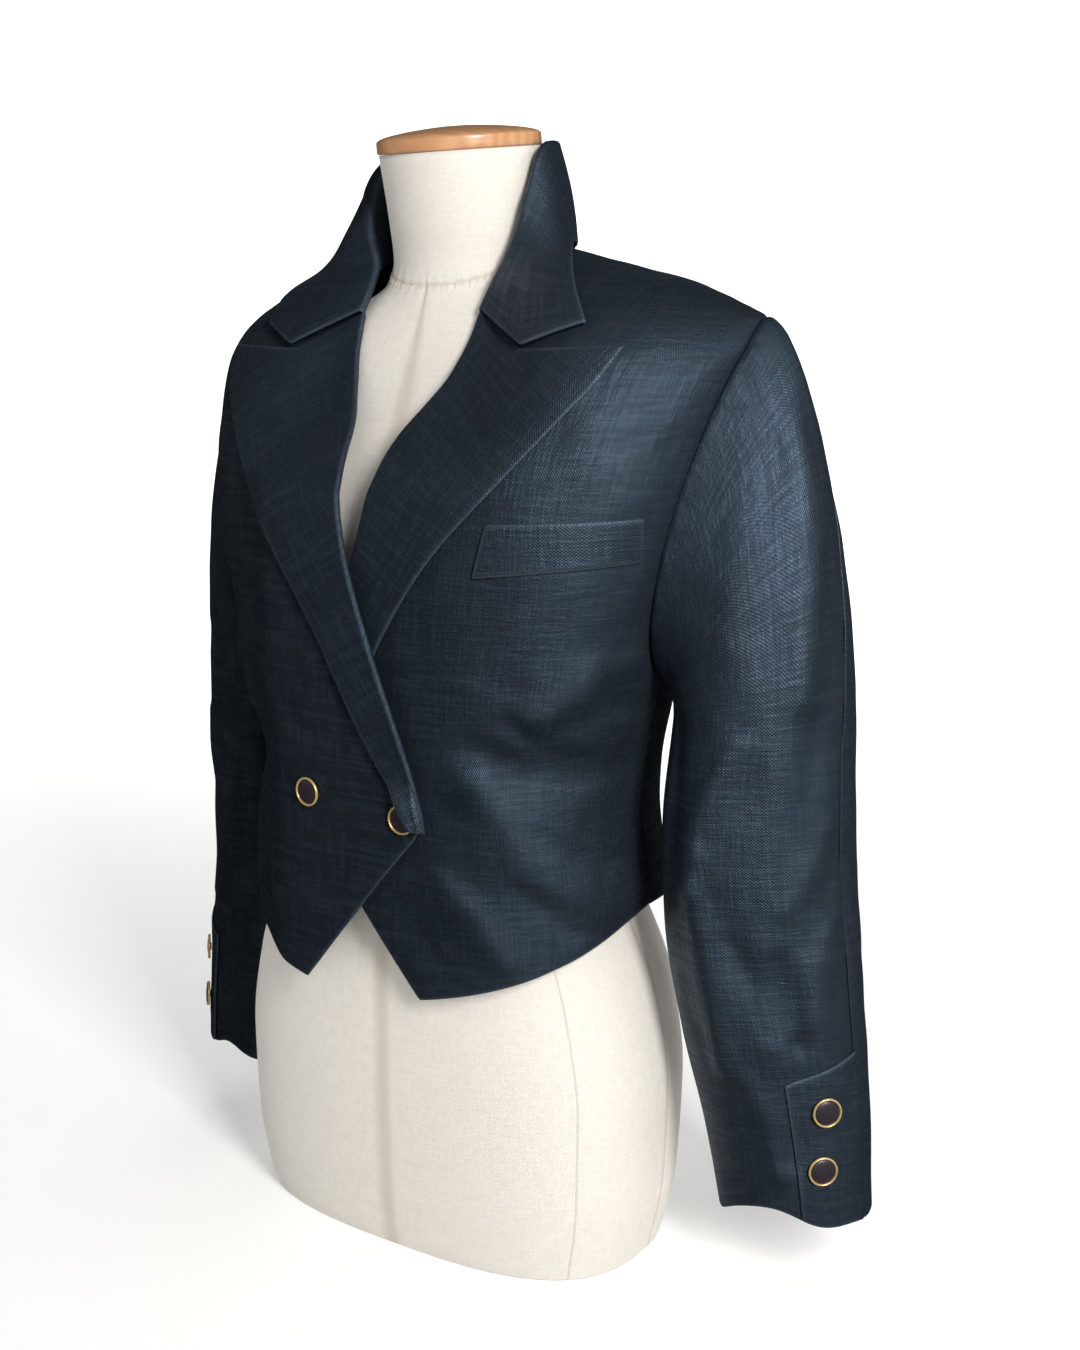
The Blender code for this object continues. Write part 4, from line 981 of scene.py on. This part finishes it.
def jacketLinen():
    look = jacketLook
    f = Finish("jacket_linen_cloth")
    grain = f.attribute("grain", 1)
    edge = f.attribute("edge", 2)
    ditch = f.attribute("ditch", 2)
    warp, weft = threads(f, grain, look["pitch"], 95.0)
    weave = plainWeave(f, grain, look["pitch"], 0.0011)
    cloud = f.noise(grain, 16.0, 3.0, 0.55)
    tint = f.noise(f.stretch(grain, 1.0, 1.0, 1.7), 34.0, 2.0, 0.5)
    streak = f.range(warp * 0.5 + weft * 0.5, 0.40, 0.62)
    slubUp = f.noise(f.stretch(grain, 340.0, 26.0, 3.0), 1.0, 3.0, 0.65)
    slubAcross = f.noise(f.stretch(grain, 22.0, 320.0, 3.0), 1.0, 3.0, 0.65)
    slub = f.range(slubUp * 0.45 + slubAcross * 0.55, 0.40, 0.60)
    shade = f.blend(streak, look["dark"], look["mid"])
    shade = f.blend(f.range(warp, 0.57, 0.72) * 0.55, shade, look["light"])
    shade = f.blend(f.range(weft, 0.58, 0.74) * 0.45, shade, look["light"])
    shade = f.blend(f.range(tint, 0.45, 0.70) * 0.40, shade, look["plum"])
    shade = f.blend(f.range(cloud, 0.48, 0.72) * 0.45, shade, look["teal"])
    shade = f.blend(weave * 0.35, shade, look["dark"])
    shade = f.blend(f.range(slub, 0.4, 1.0) * 0.5, shade, look["light"])
    specks = f.node("ShaderNodeTexVoronoi", {"feature": "F1"}, {"Vector": f.stretch(grain, 1.0, 1.0, 0.3),
                                                                "Scale": 150.0, "Randomness": 1.0})
    shade = f.blend(f.range(specks, 0.16, 0.05) * 0.7, shade, look["dark"])
    # painted highlight: the crests of the cloth's edges are lightened in colour, as if they caught the light
    shade = f.blend(edge * 0.8, shade, look["edgeHighlight"])
    # painted shade: the cloth is darkened in colour along the seams, where shade falls in the groove
    shade = f.blend(ditch * 0.35, shade, look["dark"])
    rough = 0.65 - streak * 0.08 - slub * 0.14 + weave * 0.04
    height = weave * 0.30 + warp * 0.6 + weft * 0.6 + slubUp * 0.4 + slubAcross * 0.5
    return f.shade(Base_Color=shade, Roughness=rough, Normal=f.bump(height, 0.0009, 0.75),
                   Sheen_Weight=look["sheen"], Sheen_Roughness=0.42, Sheen_Tint=look["sheenTint"],
                   Specular_IOR_Level=0.8, IOR=1.6, Specular_Tint=look["gleam"])


formLook = {
    "thread": (0.675, 0.640, 0.590),
    "gap": (0.620, 0.585, 0.535),
    "seam": (0.46, 0.40, 0.33),
    "tape": (0.70, 0.63, 0.57),
    "pitch": 0.0011,
}


def formLinen():
    look = formLook
    f = Finish("form_linen_cloth")
    grain = f.attribute("grain", 1)
    seam = f.attribute("seam", 2)
    tape = f.attribute("tape", 2)
    warp, weft = threads(f, grain, look["pitch"], 70.0)
    weave = plainWeave(f, grain, look["pitch"], 0.0008)
    cloud = f.noise(grain, 11.0, 3.0, 0.5)
    shade = f.blend(f.range(warp * 0.5 + weft * 0.5, 0.36, 0.60), look["gap"], look["thread"])
    shade = f.blend(weave * 0.25, shade, look["gap"])
    shade = f.blend(f.range(cloud, 0.45, 0.75) * 0.08, shade, look["gap"])
    shade = f.blend(tape * 0.45, shade, look["tape"])
    shade = f.blend(seam * 0.6, shade, look["seam"])
    height = weave * 0.5 + warp * 0.5 + weft * 0.5
    return f.shade(Base_Color=shade, Roughness=0.86 - weave * 0.06, Normal=f.bump(height, 0.0006, 0.45),
                   Sheen_Weight=0.12, Sheen_Roughness=0.5, Specular_IOR_Level=0.3)


def mottledFinish(name, scale, detail, low, high, rough, roughMore, **sockets):
    f = Finish(name)
    place = f.node("ShaderNodeTexCoord", out=3)
    spot = f.noise(f.stretch(place, scale, scale, scale), 1.0, detail)
    return f.shade(Base_Color=f.blend(spot, low, high), Roughness=rough + spot * roughMore, **sockets)


def threadFinish(name, colour):
    shaded = tuple(c * 0.6 for c in colour)
    return mottledFinish(name, 900.0, 2.0, shaded, colour, 0.7, 0.0, Sheen_Weight=0.2)


woodLook = {"deep": (0.46, 0.225, 0.105), "warm": (0.58, 0.310, 0.150), "coat": 0.5}


def capWood():
    look = woodLook
    f = Finish("cap_varnished_wood")
    place = f.node("ShaderNodeTexCoord", out=3)
    bent = f.noise(f.stretch(place, 9.0, 30.0, 30.0), 1.0, 3.0)
    rings = f.node("ShaderNodeTexWave", {"wave_type": "BANDS", "bands_direction": "Y"},
                   {"Vector": f.stretch(place, 0.35, 1.0, 1.0), "Scale": 34.0, "Distortion": 5.0, "Detail": 3.0,
                    "Detail Scale": 1.6}, 1)
    pores = f.noise(f.stretch(place, 120.0, 1500.0, 1500.0), 1.0, 2.0)
    grainMask = f.range(rings * 0.3 + bent * 0.7, 0.20, 0.80)
    shade = f.blend(grainMask, look["deep"], look["warm"])
    shade = f.blend(f.range(pores, 0.60, 0.72) * 0.5, shade, look["deep"])
    return f.shade(Base_Color=shade, Roughness=0.34 + pores * 0.12, Normal=f.bump(pores, 0.0003, 0.15),
                   Coat_Weight=look["coat"], Coat_Roughness=0.16)


linenCloth = jacketLinen()
formCloth = formLinen()
navyThread = threadFinish("jacket_thread", (0.030, 0.040, 0.052))
creamThread = threadFinish("form_thread", (0.78, 0.70, 0.58))
woodFinish = capWood()
brassFinish = mottledFinish("button_rim_brass", 260.0, 3.0, (0.70, 0.46, 0.17), (0.92, 0.70, 0.36),
                            0.26, 0.14, Metallic=0.62)
satinFinish = mottledFinish("button_face_satin", 420.0, 3.0, (0.012, 0.008, 0.012), (0.030, 0.022, 0.030),
                            0.34, 0.12, Coat_Weight=0.15, Coat_Roughness=0.3)
print("finishes made")


# stitches: short rounded threads along a line

def stitchRow(name, points, outs, sideways, stitch, pitch, thick, lean, finish):
    points, outs, sideways = np.asarray(points), np.asarray(outs), np.asarray(sideways)
    gaps = np.linalg.norm(np.diff(points, axis=0), axis=1)
    at = np.concatenate([[0.0], np.cumsum(gaps)])
    verts, faces = [], []
    around = 6
    rings = ((0.0, 0.35, -0.5), (0.18, 0.9, 0.25), (0.5, 1.0, 0.6), (0.82, 0.9, 0.25), (1.0, 0.35, -0.5))

    def along(line, where):
        return np.array([np.interp(where, at, line[:, c]) for c in range(3)])

    for k, middle in enumerate(np.arange(pitch * 0.6, at[-1] - pitch * 0.4, pitch)):
        centre, out, side = along(points, middle), unit(along(outs, middle)), unit(along(sideways, middle))
        run = unit(along(points, middle + pitch * 0.3) - centre)
        wander = math.radians(lean + 7.0 * math.sin(k * 2.4))
        run = unit(run * math.cos(wander) + side * math.sin(wander))
        wide = np.cross(run, out)
        long = stitch * (1.0 + 0.14 * math.sin(k * 3.7))
        base = len(verts)
        for share, fat, lift in rings:
            spine = centre + run * (share - 0.5) * long + out * thick * lift
            for a in range(around):
                turn = 2.0 * math.pi * a / around
                verts.append(spine + (wide * math.cos(turn) + out * math.sin(turn)) * thick * 0.5 * fat)
        for r in range(len(rings) - 1):
            for a in range(around):
                b = (a + 1) % around
                low, high = base + r * around, base + (r + 1) * around
                faces.append((low + a, low + b, high + b, high + a))
        faces.append(tuple(base + a for a in reversed(range(around))))
        faces.append(tuple(base + (len(rings) - 1) * around + a for a in range(around)))
    piece = newMesh(name, verts, faces, finish)
    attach(piece, "root")
    return piece


# the jacket's pieces

pieceGrid = {
    "front": (86, 118),
    "back": (126, 110),
    "lapel": (44, 120),
    "collar": (150, 46),
    "sleeve": (58, 150),
    "tab": (26, 44),
    "welt": (44, 18),
}


def shapedSpots(count, corners, first, last):
    values = spots(count, first, last)
    for corner in corners:
        values = withSpot(values, corner)
    return values


acrossCount, upCount = pieceGrid["front"]
frontUs = spots(acrossCount, 0.008, 0.008)
frontCorners = [frontCut[name] for name in ("breakShare", "armShare", "rollShare")]
frontVs = shapedSpots(upCount, frontCorners, 0.004, 0.004)
fronts = {}
for side, label in sides:
    fronts[side] = clothPiece("cloth_front_" + label, "front_" + label,
                              lambda u, v, s=side: frontSheet(u, v, s), frontUs, frontVs, fromAxis,
                              frontCut["thick"], linenCloth, ("u0", "v0"), ("u1",))

acrossCount, upCount = pieceGrid["back"]
backUs = spots(acrossCount, 0.004, 0.004)
corner = neckTurn(jacketBody["backSquare"]) / armholeCut["tip"]
for spot in (0.5 - 0.5 * corner, 0.5, 0.5 + 0.5 * corner):
    backUs = withSpot(backUs, spot)
backVs = shapedSpots(upCount, (frontCut["armShare"],), 0.004, 0.004)
back = clothPiece("cloth_back", "back", backSheet, backUs, backVs, fromAxis, frontCut["thick"], linenCloth,
                  ("v0",), ("u0", "u1"))

acrossCount, upCount = pieceGrid["lapel"]
rollCount = 16
rollShare = lapelCut["rollColumns"]
rollSpots = np.array([rollShare * k / rollCount for k in range(rollCount)])
flatSpots = rollShare + (1.0 - rollShare) * spots(acrossCount - rollCount, 0.0, 0.03)
lapelUs = np.concatenate([rollSpots, flatSpots])
lapelVs = spots(upCount, 0.006, 0.004)
lapels = {}
for side, label in sides:
    lapels[side] = clothPiece("cloth_lapel_" + label, "lapel_" + label,
                              lambda u, v, s=side: lapelSheet(u, v, s), lapelUs, lapelVs, outFront,
                              lapelCut["thick"], linenCloth, ("u1", "v1", "v0"), (), 0.0006)

acrossCount, upCount = pieceGrid["collar"]
collarUs = spots(acrossCount, 0.005, 0.005)
collarVs = spots(upCount, 0.0, 0.018)
collar = clothPiece("cloth_collar", "collar", collarSheet, collarUs, collarVs, outCollar, collarCut["thick"],
                    linenCloth, ("v1", "u0", "u1"))

acrossCount, upCount = pieceGrid["sleeve"]
sleeveUs = spots(acrossCount, 0.010, 0.010)
sleeveVs = shapedSpots(upCount, (sleeveCut["headShare"],), 0.004, 0.004)
sleeves = {}
for side, label in sides:
    for upper, part in ((True, "upper"), (False, "under")):
        name = "sleeve_%s_%s" % (label, part)
        sleeves[name] = clothPiece("cloth_" + name, name,
                                   lambda u, v, s=side, up=upper: sleeveSheet(u, v, s, up),
                                   sleeveUs, sleeveVs, fromSleeve, sleeveCut["thick"], linenCloth,
                                   ("v1",), ("u0", "u1", "v0"))

acrossCount, upCount = pieceGrid["tab"]
tabs = {}
for side, label in sides:
    tabs[side] = clothPiece("cloth_cuff_tab_" + label, "cuff_tab_" + label,
                            lambda u, v, s=side: tabSheet(u, v, s),
                            spots(acrossCount, 0.03, 0.03), spots(upCount, 0.012, 0.012), fromSleeve,
                            tabCut["thick"], linenCloth, ("u1", "v0", "v1"), ("u0",), 0.0005, 0.0003)

acrossCount, upCount = pieceGrid["welt"]
welt = clothPiece("cloth_pocket_welt", "pocket_welt", weltSheet, spots(acrossCount, 0.018, 0.018),
                  spots(upCount, 0.05, 0.05), fromAxis, weltCut["thick"], linenCloth, ("u0", "u1", "v0", "v1"),
                  (), 0.0005)
print("cloth laid")


# the welt's stitching, just inside its lower and outer edges

stitchCut = {"length": 0.0021, "pitch": 0.0030, "thick": 0.00045, "inset": 0.035}


def weltLine(places):
    u = np.array([p[0] for p in places])
    v = np.array([p[1] for p in places])
    h = 0.01
    points = weltSheet(u, v)[0]
    right = weltSheet(u + h, v)[0] - weltSheet(u - h, v)[0]
    up = weltSheet(u, v + h)[0] - weltSheet(u, v - h)[0]
    out = unit(np.cross(right, up))
    out = out * np.where(dot(out, fromAxis(points)) < 0.0, -1.0, 1.0)[..., None]
    return points + out * 0.0001, out, unit(up)


inset = stitchCut["inset"]
weltRows = (
    ("welt_stitch_low", [(inset + (1.0 - 2.0 * inset) * k / 40.0, 0.10) for k in range(41)]),
    ("welt_stitch_end", [(1.0 - inset * 0.8, 0.10 + 0.82 * k / 16.0) for k in range(17)]),
)
for name, places in weltRows:
    points, outs, ups = weltLine(places)
    stitchRow(name, points, outs, ups, stitchCut["length"], stitchCut["pitch"],
                                  stitchCut["thick"], 0.0, navyThread)

declareCloth(back)
for side, label in sides:
    declareCloth(fronts[side])
    declareCloth(lapels[side])
    for part in ("upper", "under"):
        declareCloth(sleeves["sleeve_%s_%s" % (label, part)])
    declareCloth(tabs[side])
declareCloth(collar)
declareCloth(welt)


# the buttons, turned on their own axis

def turnedPiece(name, node, profile, place, axis, around, finish, closed):
    frameAt = Vector(axis).to_track_quat("Z", "Y").to_matrix()
    frameAt = np.array(frameAt)
    verts, faces = [], []
    rings = len(profile)
    for reach, rise in profile:
        for a in range(around):
            turn = 2.0 * math.pi * a / around
            verts.append(place + frameAt @ np.array([reach * math.cos(turn), reach * math.sin(turn), rise]))
    for r in range(rings if closed else rings - 1):
        low, high = r * around, ((r + 1) % rings) * around
        for a in range(around):
            b = (a + 1) % around
            faces.append((low + a, low + b, high + b, high + a))
    if not closed:
        for ring, at, turned in ((0, profile[0][1], True), (rings - 1, profile[-1][1], False)):
            verts.append(place + frameAt @ np.array([0.0, 0.0, at]))
            tip = len(verts) - 1
            for a in range(around):
                first, second = ring * around + a, ring * around + (a + 1) % around
                faces.append((second, first, tip) if turned else (first, second, tip))
    piece = newMesh(name, verts, faces, finish)
    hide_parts(node)
    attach(piece, "root")
    return piece


def buttonPieces(name, place, axis):
    face = buttonCut["radius"] - buttonCut["rim"] - 0.0002
    stand, height = buttonCut["stand"], buttonCut["height"]
    shank, brow = buttonCut["shank"], buttonCut["brow"]
    profile = [(shank, stand), (shank, stand + 0.5 * brow), (face * 0.9, stand + 0.0011)]
    profile += [(face * 0.985, stand + 0.0014), (face, stand + brow)]
    for k in range(1, 15):
        turn = 0.5 * math.pi * k / 15.0
        profile.append((face * math.cos(turn), stand + brow + (height - brow) * math.sin(turn) ** 0.9))
    turnedPiece(name + "_dome", name + "_face", profile, place, axis, buttonCut["around"], satinFinish,
                False)
    section = []
    for k in range(14):
        turn = 2.0 * math.pi * k / 14.0
        section.append((buttonCut["radius"] - 0.5 * buttonCut["rim"] + 0.5 * buttonCut["rim"] * math.cos(turn),
                        stand + 0.0019 + 0.0011 * math.sin(turn)))
    turnedPiece(name + "_ring", name + "_rim", section, place, axis, buttonCut["around"], brassFinish,
                True)


def onTop(x, z):  # a place on the right front, which closes on top
    return onFront(np.array(x), np.array(z), -1, np.array(0.0))


for name, (x, z) in buttonCut["front"].items():
    step = 0.006
    sideStep = onTop(x + step, z) - onTop(x - step, z)
    upStep = onTop(x, z + step) - onTop(x, z - step)
    buttonPieces(name, onTop(x, z), unit(np.cross(sideStep, upStep)))

for side, label in sides:
    for name, level in buttonCut["cuffLevels"].items():
        share, turn = float(levelShare(level)), buttonCut["cuffTurns"][name]
        steps = [(0.0, 0.0), (0.1, 0.0), (-0.1, 0.0), (0.0, 0.01), (0.0, -0.01)]
        spotsHere = [sleevePoint(turn + a, share + b, side, trimLift) for a, b in steps]
        here, ahead, behind, below, above = spotsHere
        axis = unit(np.cross(ahead - behind, below - above))
        if dot(axis, fromSleeve(here)) < 0.0:
            axis = -axis
        buttonPieces("cuff_button_%s_%s" % (label, name), here, axis)
print("buttons turned")


# the dress form

formShape = {
    "frontSquare": 2.9,
    "backSquare": 2.1,
    "columns": ("level", "halfWidth", "front", "back", "tilt"),
    "rows": (
        (0.000, 0.163, -0.108, 0.092, 0.00),
        (0.010, 0.166, -0.111, 0.095, 0.00),
        (0.060, 0.175, -0.116, 0.102, 0.00),
        (0.130, 0.177, -0.118, 0.107, 0.00),
        (0.200, 0.165, -0.117, 0.107, 0.00),
        (0.260, 0.141, -0.110, 0.096, 0.00),
        (0.330, 0.118, -0.095, 0.078, 0.00),
        (0.400, 0.126, -0.103, 0.083, 0.00),
        (0.480, 0.142, -0.116, 0.096, 0.00),
        (0.530, 0.147, -0.117, 0.103, 0.00),
        (0.580, 0.152, -0.098, 0.105, 0.00),
        (0.620, 0.157, -0.079, 0.101, 0.00),
        (0.650, 0.154, -0.068, 0.093, 0.00),
        (0.672, 0.126, -0.060, 0.083, 0.00),
        (0.688, 0.090, -0.054, 0.074, 0.02),
        (0.702, 0.065, -0.049, 0.064, 0.04),
        (0.718, 0.057, -0.048, 0.060, 0.06),
        (0.745, 0.0566, -0.053, 0.057, 0.09),
        (0.792, 0.0571, -0.064, 0.048, 0.12),
    ),
    "seamTurns": (0.0, 51.0, 90.0, 132.0, 180.0, 228.0, 270.0, 309.0),
    "seamDeep": 0.0006,
    "seamWide": 0.0011,
    "neckSeam": 0.699,
    "neckRise": 0.026,
    "tape": (0.004, 0.016),
    "around": 168,
    "up": 150,
}
form = tableCurves(formShape["columns"], formShape["rows"])


def formPoint(level, turn):
    level, turn = np.broadcast_arrays(np.asarray(level, float), np.asarray(turn, float))
    square = np.where(np.cos(turn) > 0.0, formShape["frontSquare"], formShape["backSquare"])
    square = 2.0 + (square - 2.0) * ease(0.70, 0.60, level)
    s = np.abs(np.sin(turn)) ** (2.0 / square)
    c = np.abs(np.cos(turn)) ** (2.0 / square)
    front, behind = form["front"](level), form["back"](level)
    middle = 0.5 * (front + behind)
    y = middle + (front - middle) * np.copysign(c, np.cos(turn))
    x = np.copysign(form["halfWidth"](level) * s, np.sin(turn))
    return np.stack([x, y, level + form["tilt"](level) * (y - middle)], -1)


def neckLevel(turn):  # the seam round the foot of the neck
    return formShape["neckSeam"] + formShape["neckRise"] * (1.0 - np.cos(turn))


def formBody():
    turns = [2.0 * math.pi * k / formShape["around"] for k in range(formShape["around"])]
    seams = [math.radians(t) for t in formShape["seamTurns"]]
    near = (-0.0022, -0.0014, -0.0007, 0.0, 0.0007, 0.0014, 0.0022)
    radius = 0.14

    def apart(t, s):
        return abs((t - s + math.pi) % (2.0 * math.pi) - math.pi)

    kept = [t for t in turns if min(apart(t, s) for s in seams) > 0.0030 / radius]
    turns = np.array(sorted(kept + [(s + step / radius) % (2.0 * math.pi) for s in seams for step in near]))
    base = [0.0, 0.0012, 0.003, 0.006]
    neck = [formShape["neckSeam"] + k * 0.0016 for k in range(-8, 24)]
    even = [0.792 * k / formShape["up"] for k in range(1, formShape["up"] + 1)]
    clear = [z for z in even if z > 0.008 and min(abs(z - n) for n in neck) > 0.0008]
    levels = np.array(sorted(base + neck + clear))
    turn, level = np.meshgrid(turns, levels)
    points = formPoint(level, turn)
    normals = unit(np.cross(formPoint(level, turn + 0.01) - formPoint(level, turn - 0.01),
                            formPoint(level + 0.002, turn) - formPoint(level - 0.002, turn)))
    away = np.full(turn.shape, 1.0)
    for s in seams:
        away = np.minimum(away, apart(turn, s) * np.hypot(points[..., 0], points[..., 1]))
    offNeck = points[..., 2] - neckLevel(turn)
    belowNeck = ease(0.0, 0.004, -offNeck)
    groove = bell(away, formShape["seamWide"]) * belowNeck
    ring = bell(offNeck, 0.0012)
    pucker = 0.00035 * bell(offNeck, 0.006) * np.sin(turn * 46.0 + 2.0 * np.sin(7.0 * turn))
    lift = -formShape["seamDeep"] * groove - 0.0008 * ring + pucker
    lift = lift * ease(0.0, 0.004, level)
    points = points + normals * lift[..., None]
    points[0, :, 2] = 0.0
    rows, columns = turn.shape
    index = np.arange(rows * columns).reshape(rows, columns)
    ahead = np.roll(index, -1, axis=1)
    faces = np.stack([index[:-1], ahead[:-1], ahead[1:], index[1:]], -1).reshape(-1, 4).tolist()
    verts = [tuple(p) for p in points.reshape(-1, 3)]
    verts += [(0.0, -0.002, 0.0), tuple(points[-1].mean(0))]
    low, high = len(verts) - 2, len(verts) - 1
    faces += [[int(ahead[0, k]), int(index[0, k]), low] for k in range(columns)]
    faces += [[int(index[-1, k]), int(ahead[-1, k]), high] for k in range(columns)]
    piece = newMesh("form_torso", verts, faces, formCloth)
    around = np.where(turn > math.pi, turn - 2.0 * math.pi, turn)
    grain = np.stack([around * 0.14, points[..., 2], 0.3 + 0.0 * turn], -1).reshape(-1, 3)
    addVectors(piece.data, "grain", np.concatenate([grain, np.zeros((2, 3))]))
    addFloats(piece.data, "seam", np.concatenate([np.maximum(groove, ring).ravel(), [0.0, 0.0]]))
    inTape = ease(formShape["tape"][0], formShape["tape"][0] + 0.001, points[..., 0])
    inTape = inTape * ease(formShape["tape"][1] + 0.001, formShape["tape"][1], points[..., 0])
    inTape = inTape * (np.cos(turn) > 0.0) * belowNeck
    addFloats(piece.data, "tape", np.concatenate([inTape.ravel(), [0.0, 0.0]]))
    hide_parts("form_body")
    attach(piece, "root")
    return piece


formBody()


neckStitchCut = {"length": 0.0046, "pitch": 0.0052, "thick": 0.0006, "lean": 62.0, "reach": 75.0}


def neckStitches():
    turns = np.radians(np.linspace(-neckStitchCut["reach"], neckStitchCut["reach"], 120))
    levels = neckLevel(turns)
    points = formPoint(levels, turns)
    ups = unit(formPoint(levels + 0.002, turns) - formPoint(levels - 0.002, turns))
    runs = unit(formPoint(levels, turns + 0.02) - formPoint(levels, turns - 0.02))
    outs = unit(np.cross(runs, ups))
    cut = neckStitchCut
    return stitchRow("form_neck_stitches", points, outs, ups, cut["length"], cut["pitch"], cut["thick"],
                     cut["lean"], creamThread)


neckStitches()

capShape = {"radius": 0.0580, "edge": 0.0075, "dome": 0.0090, "around": 96, "gap": 0.0003}


def formCap():
    top = formShape["rows"][-1]
    middle = np.array([0.0, 0.5 * (top[2] + top[3]), top[0]])
    tilt = math.atan(top[4])
    axis = (0.0, -math.sin(tilt), math.cos(tilt))
    radius, edge, dome, gap = capShape["radius"], capShape["edge"], capShape["dome"], capShape["gap"]
    profile = [(radius * 0.975, gap), (radius * 0.992, gap + 0.0004), (radius, gap + 0.0014)]
    profile += [(radius, gap + 0.0035), (radius, gap + edge - 0.0020)]
    profile.append((radius * 0.999, gap + edge - 0.0006))
    for k in range(1, 25):
        share = k / 25.0
        reach = max(math.cos(0.5 * math.pi * share) ** 0.62, 0.02)
        profile.append((radius * reach, gap + edge + dome * share ** 0.9))
    return turnedPiece("cap_turned", "form_cap", profile, middle, axis, capShape["around"], woodFinish,
                       False)


formCap()
print("form built")


# floor, light and camera

stageLook = {
    "floor": (0.88, 0.88, 0.87),
    "glow": 0.16,
    "way": (-0.5409, 0.8411),
    "reach": 6.0,
    "before": -2.5,
    "behind": 3.2,
    "bend": 1.0,
    "rise": 4.0,
    "rows": 40,
    "flatShare": 0.4,
    "bendShare": 0.4,
}


def stageSheet():
    look = stageLook
    ahead = np.array(look["way"])
    aside = np.array([ahead[1], -ahead[0]])
    flatShare, upright = look["flatShare"], look["flatShare"] + look["bendShare"]
    verts, faces = [], []
    for r in range(look["rows"] + 1):
        t = r / look["rows"]
        if t < flatShare:
            along, high = look["before"] + (look["behind"] - look["before"]) * t / flatShare, 0.0
        else:
            turn = 0.5 * math.pi * min((t - flatShare) / look["bendShare"], 1.0)
            along = look["behind"] + look["bend"] * math.sin(turn)
            wall = max(0.0, t - upright) / (1.0 - upright)
            high = look["bend"] * (1.0 - math.cos(turn)) + wall * look["rise"]
        for end in (-1.0, 1.0):
            flat = ahead * along + aside * look["reach"] * end
            verts.append((flat[0], flat[1], high))
    for r in range(look["rows"]):
        faces.append((2 * r, 2 * r + 1, 2 * r + 3, 2 * r + 2))
    f = Finish("stage_paper")
    place = f.node("ShaderNodeTexCoord", out=3)
    mottled = f.noise(place, 3.0, 2.0)
    pale = look["floor"]
    f.shade(Base_Color=f.blend(mottled, pale, tuple(c * 0.985 for c in pale)), Roughness=0.9,
            Emission_Color=(1.0, 1.0, 1.0, 1.0), Emission_Strength=look["glow"])
    floor = newMesh("stage_floor", verts, faces, f.material)
    floor.visible_glossy = False


stageSheet()


def areaLight(name, place, aim, size, power, colour):
    data = bpy.data.lights.new(name, "AREA")
    data.shape = "RECTANGLE"
    data.size, data.size_y = size
    data.energy = power
    data.color = colour
    lamp = bpy.data.objects.new(name, data)
    scene.collection.objects.link(lamp)
    lamp.location = place
    lamp.rotation_euler = (Vector(aim) - Vector(place)).to_track_quat("-Z", "Y").to_euler()


lightPlan = {
    "key": ((1.68, -1.06, 1.32), (0.05, 0.0, 0.42), (0.5, 0.9), 48.0, (1.0, 0.99, 0.97)),
    "side": ((2.2, 0.9, 0.7), (0.1, 0.0, 0.2), (0.8, 1.4), 3.0, (1.0, 1.0, 1.0)),
    "left": ((-1.9, -1.5, 1.3), (0.0, 0.0, 0.4), (1.2, 1.4), 3.0, (0.96, 0.98, 1.0)),
    "paper": ((-0.6, 2.2, 2.4), (-1.9, 3.6, 0.6), (2.5, 1.0), 90.0, (1.0, 1.0, 1.0)),
}
for name, (place, aim, size, power, colour) in lightPlan.items():
    areaLight("light_" + name, place, aim, size, power, colour)

airLook = {"strength": 0.445, "reflected": 0.015}  # dimmer in reflections, so that the dark cloth stays dark
world = bpy.data.worlds.new("studio_air")
world.use_nodes = True
world.node_tree.nodes["Background"].inputs["Color"].default_value = (1.0, 1.0, 1.0, 1.0)
air = world.node_tree.nodes["Background"].inputs["Strength"]
path = world.node_tree.nodes.new("ShaderNodeLightPath")
dim = world.node_tree.nodes.new("ShaderNodeMath")
dim.operation = "MULTIPLY_ADD"
dim.inputs[1].default_value = airLook["reflected"] - airLook["strength"]
dim.inputs[2].default_value = airLook["strength"]
world.node_tree.links.new(path.outputs["Is Glossy Ray"], dim.inputs[0])
world.node_tree.links.new(dim.outputs[0], air)
scene.world = world
scene.view_settings.view_transform = "Standard"

cameraPlan = {"eye": (0.7013, -0.9946, 0.667), "heading": 32.74, "pitch": 11.72, "lens": 44.05, "sensor": 36.0}


def standCamera():
    data = bpy.data.cameras.new("photo_camera")
    data.lens = cameraPlan["lens"]
    data.sensor_width = cameraPlan["sensor"]
    data.sensor_fit = "AUTO"
    data.clip_start = 0.01
    camera = bpy.data.objects.new("photo_camera", data)
    scene.collection.objects.link(camera)
    camera.location = cameraPlan["eye"]
    camera.rotation_euler = (math.radians(90.0 - cameraPlan["pitch"]), 0.0, math.radians(cameraPlan["heading"]))
    scene.camera = camera


standCamera()
print("stage set")

bpy.context.view_layer.update()
